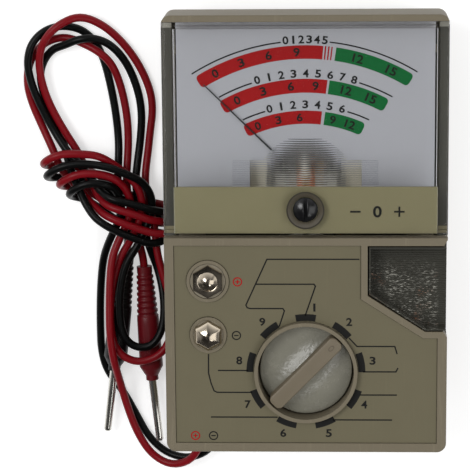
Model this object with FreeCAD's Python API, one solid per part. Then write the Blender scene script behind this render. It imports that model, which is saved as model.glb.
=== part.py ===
"""Analogue battery tester: case, clear cover, moving-coil meter, selector switch, terminals and test leads.

The tester lies on its back. X runs across it, Y towards the meter end and Z out of the front face.
The origin is the middle of the back face, and all sizes are in millimetres.
"""

import FreeCAD
import Part
import math
import os

# Case
case_width = 65.0
case_length = 102.0
case_height = 29.0
parting_height = 16.0
corner_radius = 2.2
wall = 2.0
back_inset = 3.6
rear_step = 0.4
floor_thickness = 2.0
panel_thickness = 2.5
top_bar = 1.5
front_edge_round = 0.5

# Meter cover and the mask strip under it
cover_length = 49.0
cover_height = 11.0
cover_side = 2.6
cover_end = 1.6
cover_front = 1.8
cover_gap = 0.6
mask_thickness = 0.7
mask_length = 11.1
mask_side_margin = 2.4
mask_end_skin = 0.3

# Label plate in its shallow recess
label_recess = 0.7
label_thickness = 0.4
label_rim = 2.2
label_top_rim = 1.75
label_fit = 0.1

# Cell tray at the right edge
tray_left = 14.2
tray_length = 20.2
tray_left_length = 11.7
tray_foot = 5.1
tray_depth = 4.6
tray_rim = 1.5
tray_plate = 2.0
tray_seat = 1.2
tray_mouth_chamfer = 0.9

# Screws that join the two shells
boss_radius = 3.0
boss_split = 9.0
upper_boss = (24.0, 42.0)
lower_boss = (25.0, -34.0)
case_screw_radius = 1.25
case_screw_clearance = 0.15
case_screw_head_radius = 2.4
case_screw_head_height = 1.6
case_screw_sink = 3.2
case_screw_length = 11.5

# Selector
selector_y = -31.7
selector_rest = 44.5
well_radius = 11.1
well_lip = 0.85
well_lip_height = 1.2
well_depth = 5.0
well_wall = 1.4
well_floor = 1.5
knob_gap = 0.35
knob_float = 0.4
knob_thickness = 1.8
knob_bar_width = 3.7
knob_bar_rise = 0.2
knob_bar_gap = 0.1
shaft_radius = 1.25
shaft_clearance = 0.05
bush_radius = 2.6
bush_flange_radius = 4.2
bush_flange = 1.0
bush_drop = 2.0
rotor_radius = 7.5
rotor_valley = 0.5
rotor_height = 2.2
selector_positions = 9
wiper_thickness = 0.3
wiper_width = 2.4
wiper_reach = 6.9
wiper_contact_radius = 0.8
contact_gap = 0.15
pad_inner = 5.2
pad_outer = 7.0
pad_thickness = 0.15
pad_share = 0.55
detent_gap = 0.3
detent_nose = 0.7
detent_leaf = 0.5
detent_width = 3.0

# Circuit board
board_thickness = 1.6
board_top = 16.0
board_half_width = 28.0
board_neck_half_width = 21.5
board_neck_y = -29.5
board_upper_y = -4.0
board_lower_y = -47.0
board_bosses = ((-14.0, -6.5), (-17.0, -44.5), (17.0, -44.5))
board_boss_radius = 2.2
board_screw_radius = 0.8
board_screw_head_radius = 1.7
board_screw_head = 1.2
board_screw_grip = 4.5
resistor_radius = 1.2
resistor_length = 6.4
resistor_wire = 0.35
resistor_leg = 0.25
resistor_lift = 0.3
resistor_places = ((18.5, -6.0, 0), (18.5, -10.0, 0), (20.5, -14.0, 0), (-4.0, -8.0, 90), (0.0, -8.0, 90),
                   (4.0, -8.0, 90))

# Snap terminals
terminal_x = -22.5
terminal_y = -10.2
terminal_pitch = 12.7
positive_collar = 4.9
negative_collar = 4.25
terminal_collar_wall = 0.75
terminal_collar_rise = 0.1
positive_flats = 6.7
negative_flats = 6.2
terminal_base_sink = 0.8
terminal_rise = 0.9
terminal_dome = 1.7
terminal_dome_flats = 1.0
socket_radius = 2.75
socket_depth = 1.2
socket_dome_radius = 2.1
terminal_shank = 1.5
terminal_shank_drop = 6.2
terminal_nut_flats = 5.5
terminal_nut = 2.2
lug_thickness = 0.4
lug_radius = 2.9
lug_tail = 7.0
lug_tail_width = 2.2

# Meter movement
pivot_y = 11.4
frame_base = 17.0
dial_base = 19.6
dial_thickness = 0.6
dial_lower_y = 2.6
dial_window_half_width = 12.9
dial_window_lower_y = 4.4
dial_window_upper_y = 16.0
dial_window_radius = 7.7
frame_gap = 0.3
frame_window_radius = 7.0
frame_window_lower_y = 5.4
dial_screw_place = (22.0, 6.6)
dial_screw_radius = 0.7
dial_screw_head_radius = 1.5
dial_screw_head = 0.5
frame_screw_place = (26.5, 5.0)
frame_screw_radius = 0.9
frame_screw_head_radius = 1.8
frame_screw_sink = 1.6
frame_shelf_half_width = 3.0
frame_shelf_depth = 4.0
core_radius = 5.0
coil_gap = 0.5
coil_thickness = 0.8
coil_width = 3.0
yoke_gap = 0.4
yoke_wall = 2.9
magnet_low = 6.4
magnet_high = 14.2
coil_end_gap = 0.4
coil_end = 0.6
web_width = 3.0
web_height = 4.0
pillar_radius = 0.9
pillar_ring = 8.2
pillar_angles = (55.0, 125.0, 270.0)
pivot_shaft_radius = 0.5
pivot_radius = 0.25
pivot_clearance = 0.05
pivot_length = 0.5
bridge_width = 3.2
bridge_thickness = 0.8
upper_bridge_base = 17.4
lower_bridge_base = 3.2
bridge_reach = 9.3
bridge_screw_radius = 0.45
bridge_screw_head_radius = 1.2
bridge_screw_head = 0.7
jewel_radius = 1.1
jewel_overhang = 0.8
jewel_bore_depth = 0.6
upper_jewel_low = 17.2
lower_jewel_high = 4.8
balance_base = 15.3
balance_thickness = 0.5
balance_arm = 5.0
balance_arm_width = 0.6
balance_weight_radius = 0.7
pointer_rest = 135.6
pointer_swing = 90.0
pointer_hub_radius = 1.5
pointer_hub = 0.7
pointer_riser_start = 3.7
pointer_riser_end = 6.0
pointer_length = 32.7
pointer_width = 0.42
pointer_tip_width = 0.2
pointer_thickness = 0.3
pointer_float = 0.45
stop_radius = 0.3
stop_ring = 10.0
stop_clearance = 0.12
stop_height = 1.5
spring_wire = 0.25
spring_inner = 1.0
spring_turns = 3.5
upper_spring_base = 16.8
lower_spring_base = 4.95
spring_post_radius = 0.35

# Zero adjuster
zero_offset = 5.0
zero_bevel_radius = 4.15
zero_bevel_depth = 1.1
zero_head_radius = 2.85
zero_head_gap = 0.12
zero_head_rise = 0.3
zero_slot_width = 0.8
zero_slot_depth = 0.9
zero_journal = 1.9
zero_clearance = 0.05
zero_flange_radius = 2.7
zero_flange = 0.8
zero_flange_gap = 0.2
zero_pin_radius = 0.5
zero_pin_offset = 1.0
zero_pin_low = 18.3
lever_base = 18.25
lever_thickness = 0.4
lever_ring = 2.2
lever_width = 3.0
lever_reach = 5.6
lever_slot_clearance = 0.25
lever_slot_start = 2.6
lever_post_angle = 240.0
lever_post_gap = 0.05
lever_post_radius = 0.3

# Test leads and probes
lead_radius = 0.95
lead_bore_clearance = 0.05
lead_bend_share = 0.45
lead_exit_z = 7.0
red_lead_x = -25.4
black_lead_x = -21.2
lead_inner_y = -46.0
grommet_radius = 2.0
grommet_proud = 0.6
grommet_fit = 0.05
grommet_flange_radius = 2.7
grommet_flange = 0.8
grommet_seat_depth = 1.0
tail_radius = 0.6
probe_tilt = 0.0218
red_probe_top = (-39.33, -12.44, 2.36)
red_probe_way = (0.0562, -0.9984)
red_pin_way = (0.1076, -0.9942)
black_probe_top = (-43.61, -10.22, 2.36)
black_probe_way = (-0.1225, -0.9925)
probe_bore_depth = 2.5
probe_collar_radius = 1.85
probe_collar = 1.6
probe_ribs = 8
probe_rib_pitch = 1.4
probe_rib_depth = 0.3
probe_rib_first = 2.05
probe_rib_last = 2.62
probe_shoulder_first = 2.66
probe_shoulder_last = 2.85
probe_shoulder_end = 24.8
probe_nose_end = 27.0
probe_nose_radius = 1.6
probe_nub_radius = 1.5
probe_nub_end = 28.2
pin_radius = 1.0
pin_tip_radius = 0.9
pin_root = 7.0
pin_length = 15.5
pin_tip_round = 0.4

# The two leads are tied in one knot: two upright loops, a band round them, two lower loops and the probes.
# Each list runs from the inside of the case to the probe, by way of
# the first band, the first upper loop, the lower loop, the second band and the second upper loop.
red_route = [
    (-25.4, -46.0, 7.0), (-25.4, -53.0, 7.0), (-27.4, -59.6, 6.4), (-33.0, -62.2, 4.4), (-38.2, -59.8, 3.0),
    (-41.6, -54.4, 2.8), (-43.8, -48.0, 3.3), (-45.4, -41.0, 5.0), (-46.6, -34.0, 9.1), (-47.3, -28.0, 9.3),
    (-47.4, -21.6, 8.3), (-47.2, -15.1, 7.7), (-46.7, -9.6, 6.9), (-45.3, -5.9, 6.1), (-43.5, -2.4, 5.8),
    (-42.1, 0.8, 5.8), (-41.9, 4.4, 5.8), (-43.4, 7.8, 6.0), (-45.8, 10.2, 7.6), (-49.0, 11.2, 8.2),
    (-52.8, 11.4, 8.2), (-56.0, 10.6, 8.2), (-59.0, 8.6, 7.0), (-59.0, 7.2, 2.1), (-56.0, 6.8, 1.0),
    (-52.6, 5.9, 1.0), (-48.2, 2.9, 1.0), (-43.6, 0.2, 1.0), (-40.2, -1.4, 1.0), (-37.2, -1.9, 1.0),
    (-34.1, -2.0, 2.1), (-34.1, -0.6, 7.0), (-37.2, 0.0, 8.2), (-40.6, 1.3, 8.2), (-44.4, 2.4, 8.2),
    (-47.4, 3.3, 7.5), (-49.6, 4.9, 4.9), (-51.4, 7.8, 3.5), (-52.8, 10.6, 3.5), (-53.5, 13.4, 3.4),
    (-55.1, 16.4, 3.1), (-57.3, 19.8, 2.9), (-60.0, 24.6, 2.9), (-62.0, 29.1, 2.9), (-63.2, 33.7, 3.1),
    (-63.5, 38.1, 3.4), (-62.2, 42.5, 4.4), (-58.5, 46.4, 5.0), (-53.3, 48.5, 4.0), (-47.9, 45.9, 2.0),
    (-43.2, 41.3, 1.2), (-39.6, 36.0, 1.0), (-37.2, 30.2, 1.0), (-36.7, 25.4, 1.0), (-37.4, 20.6, 1.0),
    (-38.0, 15.5, 1.2), (-38.7, 10.5, 2.0), (-38.6, 6.2, 3.2), (-37.7, 2.2, 3.5), (-36.7, -1.4, 3.6),
    (-36.3, -5.0, 4.2), (-35.9, -9.0, 4.6), (-34.8, -13.2, 5.0), (-33.2, -18.5, 5.6), (-32.2, -24.0, 6.2),
    (-32.8, -29.2, 6.8), (-34.8, -32.8, 7.0), (-37.9, -34.6, 7.0), (-41.3, -35.2, 7.0), (-44.7, -33.7, 7.0),
    (-46.9, -30.4, 6.9), (-47.6, -24.7, 5.85), (-47.1, -18.3, 5.4), (-46.0, -13.5, 5.2), (-44.8, -9.6, 5.0),
    (-42.5, -5.9, 5.2), (-40.8, -2.6, 5.8), (-39.3, 0.9, 5.8), (-39.2, 4.6, 5.8), (-40.2, 7.8, 5.8),
    (-42.8, 10.6, 5.8), (-46.0, 13.2, 6.0), (-49.2, 15.5, 7.8), (-52.8, 16.0, 8.2), (-57.0, 16.1, 8.2),
    (-60.0, 15.4, 8.2), (-62.7, 13.6, 7.0), (-62.7, 12.2, 2.1), (-59.8, 11.9, 1.0), (-56.0, 12.0, 1.0),
    (-50.4, 10.0, 1.0), (-45.0, 6.2, 1.0), (-40.0, 3.5, 1.0), (-35.0, 2.5, 1.0), (-31.7, 2.1, 2.1),
    (-31.7, -2.9, 7.0), (-35.0, -3.5, 8.2), (-38.6, -2.6, 8.2), (-42.0, -1.4, 8.2), (-45.2, -0.1, 8.2),
    (-47.8, 0.9, 7.6), (-50.3, 2.3, 5.1), (-53.0, 4.8, 3.5), (-55.8, 8.0, 3.4), (-58.8, 11.4, 3.6),
    (-60.6, 16.0, 2.8), (-63.4, 21.9, 1.4), (-65.6, 27.0, 1.0), (-66.7, 31.5, 1.0), (-66.4, 36.0, 1.0),
    (-64.4, 39.9, 1.0), (-61.2, 42.3, 1.0), (-57.0, 43.1, 1.0), (-52.6, 41.4, 2.0), (-49.4, 39.9, 3.1),
    (-46.4, 37.2, 3.0), (-44.8, 33.2, 1.4), (-43.6, 28.4, 1.0), (-42.8, 23.0, 1.0), (-42.7, 17.6, 1.0),
    (-43.0, 12.8, 1.6), (-43.2, 9.2, 3.1), (-42.9, 5.2, 3.4), (-42.2, 1.2, 3.4), (-41.1, -2.8, 3.4),
    (-40.3, -7.0, 3.0), (-39.42, -10.84, 2.33), (-39.2, -14.74, 2.41),
]
black_route = [
    (-21.2, -46.0, 7.0), (-21.2, -52.0, 7.0), (-23.4, -57.6, 4.8), (-28.6, -60.6, 3.4), (-34.4, -59.8, 2.0),
    (-39.0, -55.8, 1.3), (-41.9, -50.2, 1.0), (-45.0, -44.2, 1.0), (-48.9, -39.2, 1.0), (-50.3, -34.0, 1.0),
    (-50.4, -28.0, 1.0), (-50.3, -21.9, 1.1), (-49.9, -15.6, 1.4), (-49.2, -10.6, 2.4), (-47.9, -6.8, 4.2),
    (-46.3, -3.4, 5.4), (-44.7, -0.2, 5.8), (-44.2, 3.4, 5.8), (-45.2, 6.8, 6.0), (-47.2, 8.5, 7.8),
    (-50.2, 9.0, 8.3), (-53.4, 8.6, 8.2), (-56.7, 6.4, 7.2), (-56.7, 4.7, 2.1), (-53.6, 3.9, 1.0),
    (-50.4, 1.9, 1.0), (-46.6, -1.0, 1.0), (-43.0, -2.9, 1.0), (-40.0, -3.9, 1.0), (-37.2, -4.3, 1.0),
    (-34.1, -4.4, 2.1), (-34.1, -5.4, 7.0), (-37.2, -5.8, 8.2), (-40.4, -4.7, 8.2), (-44.0, -3.3, 8.2),
    (-47.6, -1.5, 8.3), (-50.7, 0.6, 7.6), (-53.0, 3.8, 5.9), (-54.3, 6.8, 5.4), (-55.5, 9.6, 5.3),
    (-56.7, 12.6, 4.1), (-57.7, 15.6, 2.2), (-58.7, 19.8, 1.0), (-60.8, 24.4, 1.0), (-62.8, 29.0, 1.0),
    (-63.7, 33.4, 1.0), (-62.8, 37.2, 1.0), (-60.4, 40.2, 1.6), (-57.4, 41.2, 2.6), (-53.6, 42.9, 4.0),
    (-49.6, 43.0, 3.6), (-45.9, 41.0, 2.4), (-42.6, 36.6, 1.0), (-40.2, 30.5, 1.0), (-39.3, 24.7, 1.0),
    (-39.8, 18.2, 1.0), (-40.6, 12.7, 1.6), (-41.0, 8.8, 2.9), (-40.7, 5.0, 3.4), (-39.8, 1.2, 3.4),
    (-39.0, -2.6, 3.4), (-38.4, -5.8, 3.35), (-37.6, -9.2, 1.8), (-36.2, -13.0, 1.3), (-35.0, -17.6, 2.4),
    (-34.4, -22.4, 4.4), (-34.8, -27.2, 6.4), (-37.0, -31.0, 7.0), (-40.6, -31.8, 7.0), (-43.6, -30.0, 7.0),
    (-45.0, -26.1, 6.6), (-45.2, -21.0, 6.4), (-44.7, -15.8, 6.4), (-43.4, -11.0, 6.3), (-41.1, -7.5, 6.2),
    (-39.5, -4.7, 5.8), (-38.2, -1.6, 5.7), (-36.9, 2.0, 5.5), (-37.0, 5.8, 5.8), (-39.2, 9.4, 7.2),
    (-43.0, 11.2, 8.2), (-46.6, 12.8, 8.5), (-50.4, 13.5, 8.2), (-54.6, 13.7, 8.2), (-58.8, 12.8, 8.2),
    (-62.0, 10.6, 7.0), (-62.0, 9.2, 2.1), (-59.0, 9.2, 1.0), (-55.0, 9.2, 1.0), (-50.0, 7.1, 1.0),
    (-44.8, 3.9, 1.0), (-40.2, 1.2, 1.0), (-37.2, 0.4, 1.0), (-34.1, 0.2, 2.1), (-34.1, 1.8, 7.0),
    (-37.2, 2.5, 8.2), (-40.0, 3.5, 8.3), (-43.2, 4.4, 8.3), (-46.4, 5.0, 8.3), (-49.0, 6.6, 6.5),
    (-51.0, 9.2, 5.6), (-53.7, 12.8, 5.7), (-57.0, 16.0, 4.8), (-59.8, 20.0, 3.3), (-62.2, 24.4, 3.0),
    (-64.3, 28.9, 3.0), (-65.8, 33.5, 3.0), (-66.3, 37.5, 3.2), (-65.2, 41.8, 3.2), (-62.0, 44.9, 2.8),
    (-57.8, 45.9, 1.8), (-53.4, 44.9, 1.0), (-50.2, 42.0, 1.0), (-48.2, 37.8, 1.0), (-46.8, 32.0, 1.0),
    (-45.6, 25.0, 1.0), (-45.0, 18.0, 1.0), (-45.1, 12.6, 2.2), (-45.3, 8.6, 3.4), (-45.0, 4.6, 3.4),
    (-44.2, 0.6, 3.4), (-43.4, -2.6, 3.45), (-43.0, -5.6, 2.9), (-43.41, -8.63, 2.33), (-43.89, -12.5, 2.41),
]
red_tail_route = [
    (-25.4, -46.0, 7.0), (-25.4, -43.0, 7.0), (-23.4, -40.9, 8.8), (-19.6, -40.5, 11.0), (-19.6, -40.5, 14.4),
]
black_tail_route = [
    (-21.2, -46.0, 7.0), (-21.2, -43.0, 7.0), (-19.0, -41.2, 8.6), (-14.6, -40.6, 11.0), (-14.6, -40.6, 14.4),
]

# Values that follow from the sizes above
half_width = case_width / 2
half_length = case_length / 2
front = case_height
panel_under = front - panel_thickness
bay_top = half_length - top_bar
bay_bottom = bay_top - cover_length
panel_top = bay_bottom - cover_gap
cover_base = front - cover_height
cover_under = front - cover_front
mask_base = cover_under - mask_thickness
mask_top_y = bay_bottom + mask_length
label_floor = front - label_recess
label_top = label_floor + label_thickness
tray_top = panel_top - 1.8
tray_floor = front - tray_depth
tray_base = tray_floor - tray_plate
well_floor_top = front - well_depth
well_floor_under = well_floor_top - well_floor
knob_base = well_floor_top + knob_float
knob_top = knob_base + knob_thickness
knob_radius = well_radius - knob_gap
knob_bar_top = front + well_lip_height + knob_bar_rise
wiper_top = board_top + pad_thickness + contact_gap + wiper_contact_radius + wiper_thickness
rotor_top = wiper_top + rotor_height
board_under = board_top - board_thickness
dial_top = dial_base + dial_thickness
dial_half_width = half_width - cover_side - frame_gap
dial_upper_y = bay_top - cover_end - frame_gap
coil_inner = core_radius + coil_gap
coil_outer = coil_inner + coil_thickness
yoke_inner = coil_outer + yoke_gap
yoke_outer = yoke_inner + yoke_wall
coil_low = magnet_low - coil_end_gap - coil_end
coil_high = magnet_high + coil_end_gap + coil_end
upper_bridge_top = upper_bridge_base + bridge_thickness
lower_bridge_top = lower_bridge_base + bridge_thickness
pointer_base = balance_base + balance_thickness
needle_base = dial_top + pointer_float
zero_y = pivot_y - zero_offset
zero_head_base = front - zero_bevel_depth + zero_clearance
zero_flange_top = mask_base - zero_flange_gap
zero_flange_base = zero_flange_top - zero_flange


def vector(x, y, z=0.0):
    return FreeCAD.Vector(x, y, z)


UP = vector(0, 0, 1)


def box(x0, x1, y0, y1, z0, z1):
    return Part.makeBox(x1 - x0, y1 - y0, z1 - z0, vector(x0, y0, z0))


def cylinder(x, y, radius, z0, z1):
    return Part.makeCylinder(radius, z1 - z0, vector(x, y, z0))


def tube(x, y, outer, inner, z0, z1):
    return cylinder(x, y, outer, z0, z1).cut(cylinder(x, y, inner, z0 - 1, z1 + 1))


def prism(points, z0, z1):
    wire = Part.makePolygon([vector(x, y, z0) for x, y in points + points[:1]])
    return Part.Face(wire).extrude(vector(0, 0, z1 - z0))


def hexagon_points(x, y, flats):
    corner = flats / math.sqrt(3)
    angles = [math.radians(30 + 60 * i) for i in range(6)]
    return [(x + corner * math.cos(a), y + corner * math.sin(a)) for a in angles]


def hexagon_wire(x, y, flats, z):
    points = hexagon_points(x, y, flats)
    return Part.makePolygon([vector(px, py, z) for px, py in points + points[:1]])


def rounded_wire(half_x, half_y, radius, z):
    """A closed rounded rectangle about the origin, at height z."""
    edges = []
    corners = [(1, 1, 0), (-1, 1, 90), (-1, -1, 180), (1, -1, 270)]
    arcs = []
    for sx, sy, start in corners:
        cx = sx * (half_x - radius)
        cy = sy * (half_y - radius)
        points = [math.radians(start + a) for a in (0, 45, 90)]
        arcs.append([vector(cx + radius * math.cos(a), cy + radius * math.sin(a), z) for a in points])
    for i, arc in enumerate(arcs):
        edges.append(Part.Arc(*arc).toShape())
        edges.append(Part.LineSegment(arc[2], arcs[(i + 1) % 4][0]).toShape())
    return Part.Wire(edges)


def rounded_prism(half_x, half_y, radius, z0, z1):
    return Part.Face(rounded_wire(half_x, half_y, radius, z0)).extrude(vector(0, 0, z1 - z0))


def join(*shapes):
    return shapes[0].multiFuse(list(shapes[1:])).removeSplitter()


def turned(shape, degrees, x, y):
    copy = shape.copy()
    copy.rotate(vector(x, y, 0), UP, degrees)
    return copy


def mirrored_places(place):
    return [(-place[0], place[1]), place]


def save(name, shape):
    os.makedirs("parts", exist_ok=True)
    shape.exportStep("parts/%s.step" % name)


def save_group(name, shapes):
    save(name, Part.makeCompound(shapes))


# Case shells

def tray_points(overrun):
    """Outline of the cell tray, open at the case's right side, which it passes by the overrun."""
    right = half_width + overrun
    foot_x = half_width - tray_foot
    low = tray_top - tray_length
    return [(tray_left, tray_top), (right, tray_top), (right, low), (foot_x, low),
            (tray_left, tray_top - tray_left_length)]


def tray_outline(grow, z0, z1, overrun=3.0):
    wire = Part.makePolygon([vector(x, y, z0) for x, y in tray_points(overrun) + tray_points(overrun)[:1]])
    face = Part.Face(wire)
    if grow:
        face = face.makeOffset2D(grow, 2)
    return face.extrude(vector(0, 0, z1 - z0))


def terminals():
    """Place and collar radius of the positive and the negative terminal."""
    return [(terminal_y, positive_collar), (terminal_y - terminal_pitch, negative_collar)]


def label_outline(z0, z1, fit):
    left = -half_width + label_rim + fit
    right = half_width - label_rim - fit
    top = panel_top - label_top_rim - fit
    low = -half_length + label_rim + fit
    plate = box(left, right, low, top, z0, z1)
    holes = [tray_outline(tray_rim + fit, z0 - 1, z1 + 1)]
    holes.append(cylinder(0, selector_y, well_radius + well_lip + fit, z0 - 1, z1 + 1))
    for y, collar in terminals():
        holes.append(cylinder(terminal_x, y, collar + fit, z0 - 1, z1 + 1))
    return plate.cut(holes)


def make_front_case():
    shell = rounded_prism(half_width, half_length, corner_radius, parting_height, front)
    rim = [e for e in shell.Edges if abs(e.BoundBox.ZMin - front) < 1e-6
           and abs(e.BoundBox.ZMax - front) < 1e-6]
    shell = shell.makeFillet(front_edge_round, rim)
    inner_x = half_width - wall
    hollow = box(-inner_x, inner_x, -half_length + wall, panel_top - wall, parting_height - 1, panel_under)
    bay = box(-half_width - 1, half_width + 1, panel_top, bay_top, cover_base, front + 1)
    well_under_cover = box(-inner_x, inner_x, panel_top, half_length - wall, parting_height - 1,
                           cover_base + 1)
    shell = shell.cut([hollow, bay, well_under_cover])

    added = []
    for x, y in mirrored_places(upper_boss):
        side = math.copysign(inner_x + wall / 2, x)
        added.append(cylinder(x, y, boss_radius, boss_split, frame_base))
        added.append(box(min(x, side), max(x, side), y - wall / 2, y + wall / 2, parting_height, frame_base))
    for x, y in mirrored_places(lower_boss):
        added.append(cylinder(x, y, boss_radius, boss_split, panel_under))
    for x, y in board_bosses:
        added.append(cylinder(x, y, board_boss_radius, board_top, panel_under))
    for x, y in mirrored_places(frame_screw_place):
        low_x = x - frame_shelf_half_width
        added.append(box(low_x, x + frame_shelf_half_width, panel_top - wall / 2, y + frame_shelf_half_width,
                         frame_base - frame_shelf_depth, frame_base))
    well = cylinder(0, selector_y, well_radius + well_wall, well_floor_under, panel_under)
    lip = cylinder(0, selector_y, well_radius + well_lip, panel_under, front + well_lip_height)
    inside = box(-inner_x, inner_x, -half_length + wall, panel_top - wall / 2, tray_base, panel_under)
    tray_walls = tray_outline(tray_seat + tray_rim, tray_base, panel_under).common(inside)
    recess = label_outline(label_floor, front + 1, 0)
    shell = shell.cut(recess)
    for y, collar in terminals():
        added.append(cylinder(terminal_x, y, collar, panel_under, front + terminal_collar_rise))
    shell = join(shell, tray_walls, well, lip, *added)

    tools = [cylinder(0, selector_y, well_radius, well_floor_top, front + 5)]
    tools.append(cylinder(0, selector_y, bush_radius, well_floor_under - 1, front))
    for (y, collar), flats in zip(terminals(), (positive_flats, negative_flats)):
        socket = collar - terminal_collar_wall
        tools.append(cylinder(terminal_x, y, socket, front - terminal_base_sink, front + 2))
        tools.append(cylinder(terminal_x, y, terminal_shank, panel_under - 1, front))
    tools.append(tray_outline(0, tray_floor, front + 1))
    seat = tray_outline(tray_seat, tray_base - 0.5, tray_floor)
    tools.append(seat.common(box(0, half_width + 3, tray_top - tray_length - 3, tray_top + 3, tray_base,
                                 tray_floor)))
    mouth_low = tray_top - tray_length
    for y, way in ((tray_top, 1), (mouth_low, -1)):
        corner = [(half_width - tray_mouth_chamfer, y), (half_width + 1, y),
                  (half_width + 1, y + way * (1 + tray_mouth_chamfer) * 1.6)]
        tools.append(prism(corner, tray_floor, front + 1))
    for x, y in mirrored_places(upper_boss) + mirrored_places(lower_boss):
        tools.append(cylinder(x, y, case_screw_radius, boss_split - 1, case_screw_sink + case_screw_length))
    for x, y in board_bosses:
        tools.append(cylinder(x, y, board_screw_radius, board_top - 1, board_top + board_screw_grip))
    for x, y in mirrored_places(frame_screw_place):
        tools.append(cylinder(x, y, frame_screw_radius, frame_base - frame_shelf_depth / 2, frame_base + 1))
    return shell.cut(tools)


def rear_outline(shrink, z0, z1):
    """The rear cover's tapered block, drawn in all round by shrink."""
    def inset(z):
        share = (parting_height - z) / parting_height
        return rear_step + (back_inset - rear_step) * share + shrink
    wires = []
    for z in (z0, z1):
        wires.append(rounded_wire(half_width - inset(z), half_length - inset(z), corner_radius, z))
    return Part.makeLoft(wires, True, True)


def lead_holes():
    return [red_lead_x, black_lead_x]


def make_rear_cover():
    shell = rear_outline(0, 0, parting_height)
    shell = shell.cut(rear_outline(wall, floor_thickness, parting_height + 1))
    places = mirrored_places(upper_boss) + mirrored_places(lower_boss)
    bosses = [cylinder(x, y, boss_radius, floor_thickness / 2, boss_split) for x, y in places]
    shell = join(shell, *bosses)
    tools = []
    for x, y in places:
        tools.append(cylinder(x, y, case_screw_head_radius + case_screw_clearance, -1, case_screw_sink))
        tools.append(cylinder(x, y, case_screw_radius + case_screw_clearance, 0, boss_split + 1))
    for x in lead_holes():
        tools.append(Part.makeCylinder(grommet_radius + grommet_fit, 2 * wall + back_inset,
                                       vector(x, -half_length - 1, lead_exit_z), vector(0, 1, 0)))
        tools.append(Part.makeCylinder(grommet_flange_radius + grommet_fit,
                                       grommet_flange + grommet_seat_depth,
                                       vector(x, lead_inner_y, lead_exit_z), vector(0, 1, 0)))
    return shell.cut(tools)


def make_case_screws():
    screws = []
    head_top = case_screw_sink - case_screw_head_height
    for x, y in mirrored_places(upper_boss) + mirrored_places(lower_boss):
        head = cylinder(x, y, case_screw_head_radius, head_top, case_screw_sink)
        shank = cylinder(x, y, case_screw_radius, case_screw_sink, case_screw_sink + case_screw_length)
        slots = [box(x - 1.5, x + 1.5, y - 0.3, y + 0.3, head_top, head_top + 0.8),
                 box(x - 0.3, x + 0.3, y - 1.5, y + 1.5, head_top, head_top + 0.8)]
        screws.append(join(head, shank).cut(slots))
    return screws


def make_label_plate():
    return label_outline(label_floor, label_top, label_fit)


def make_cell_tray():
    plate = tray_outline(tray_seat - label_fit, tray_base, tray_floor, 0)
    keep = box(0, half_width - label_fit, tray_top - tray_length - 3, tray_top + 3, tray_base, tray_floor)
    return plate.common(keep)


# Meter cover

def make_meter_cover():
    middle_y = (bay_top + bay_bottom) / 2
    block = box(-half_width, half_width, bay_bottom, bay_top, cover_base, front)
    side_edges = [e for e in block.Edges if abs(e.BoundBox.ZMin - front) < 1e-6
                  and e.BoundBox.YLength > cover_length / 2]
    block = block.makeFillet(front_edge_round, side_edges)
    hollow = box(-half_width + cover_side, half_width - cover_side, bay_bottom + cover_end,
                 bay_top - cover_end,
                 cover_base - 1, cover_under)
    mask_x = half_width - mask_side_margin
    slot = box(-mask_x, mask_x, bay_bottom + mask_end_skin, middle_y, mask_base, cover_under)
    slot = slot.common(box(-mask_x, mask_x, bay_bottom, mask_top_y, mask_base, cover_under))
    ledge = front - zero_bevel_depth
    bevel = Part.makeCone(zero_head_radius + zero_head_gap, zero_bevel_radius, zero_bevel_depth,
                          vector(0, zero_y, ledge))
    bore = cylinder(0, zero_y, zero_journal + zero_clearance, cover_base, front)
    return block.cut([hollow, slot, bevel, bore])


def make_mask_strip():
    mask_x = half_width - mask_side_margin
    strip = box(-mask_x, mask_x, bay_bottom + mask_end_skin, mask_top_y, mask_base, cover_under)
    return strip.cut(cylinder(0, zero_y, zero_journal + zero_clearance * 4, mask_base - 1, front))


# Meter frame and dial

def window_outline(half_x, low_y, high_y, radius, z0, z1):
    """The opening over the movement: a rectangle with a half disc above it."""
    return join(box(-half_x, half_x, low_y, high_y, z0, z1), cylinder(0, pivot_y, radius, z0, z1))


def make_meter_frame():
    plate = box(-dial_half_width, dial_half_width, bay_bottom + cover_end + frame_gap, dial_upper_y,
                frame_base, dial_base)
    tools = [window_outline(dial_window_half_width, frame_window_lower_y, dial_window_upper_y,
                            frame_window_radius,
                            frame_base - 1, dial_base + 1)]
    for x, y in mirrored_places(frame_screw_place):
        tools.append(cylinder(x, y, frame_screw_radius, frame_base - 1, dial_base))
        tools.append(cylinder(x, y, frame_screw_head_radius, dial_base - frame_screw_sink, dial_base + 1))
    for x, y in mirrored_places(dial_screw_place):
        tools.append(cylinder(x, y, dial_screw_radius, frame_base + 0.5, dial_base + 1))
    return plate.cut(tools)


def make_frame_screws():
    screws = []
    for x, y in mirrored_places(frame_screw_place):
        head_base = dial_base - frame_screw_sink
        shank = cylinder(x, y, frame_screw_radius, frame_base - frame_shelf_depth / 2, head_base)
        head = cylinder(x, y, frame_screw_head_radius, head_base, dial_base - 0.2)
        screws.append(join(shank, head))
    return screws


def make_dial_plate():
    plate = box(-dial_half_width, dial_half_width, dial_lower_y, dial_upper_y, dial_base, dial_top)
    tools = [window_outline(dial_window_half_width, dial_window_lower_y, dial_window_upper_y,
                            dial_window_radius,
                            dial_base - 1, dial_top + 1)]
    for x, y in mirrored_places(dial_screw_place):
        tools.append(cylinder(x, y, dial_screw_radius, dial_base - 1, dial_top + 1))
    return plate.cut(tools)


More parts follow.
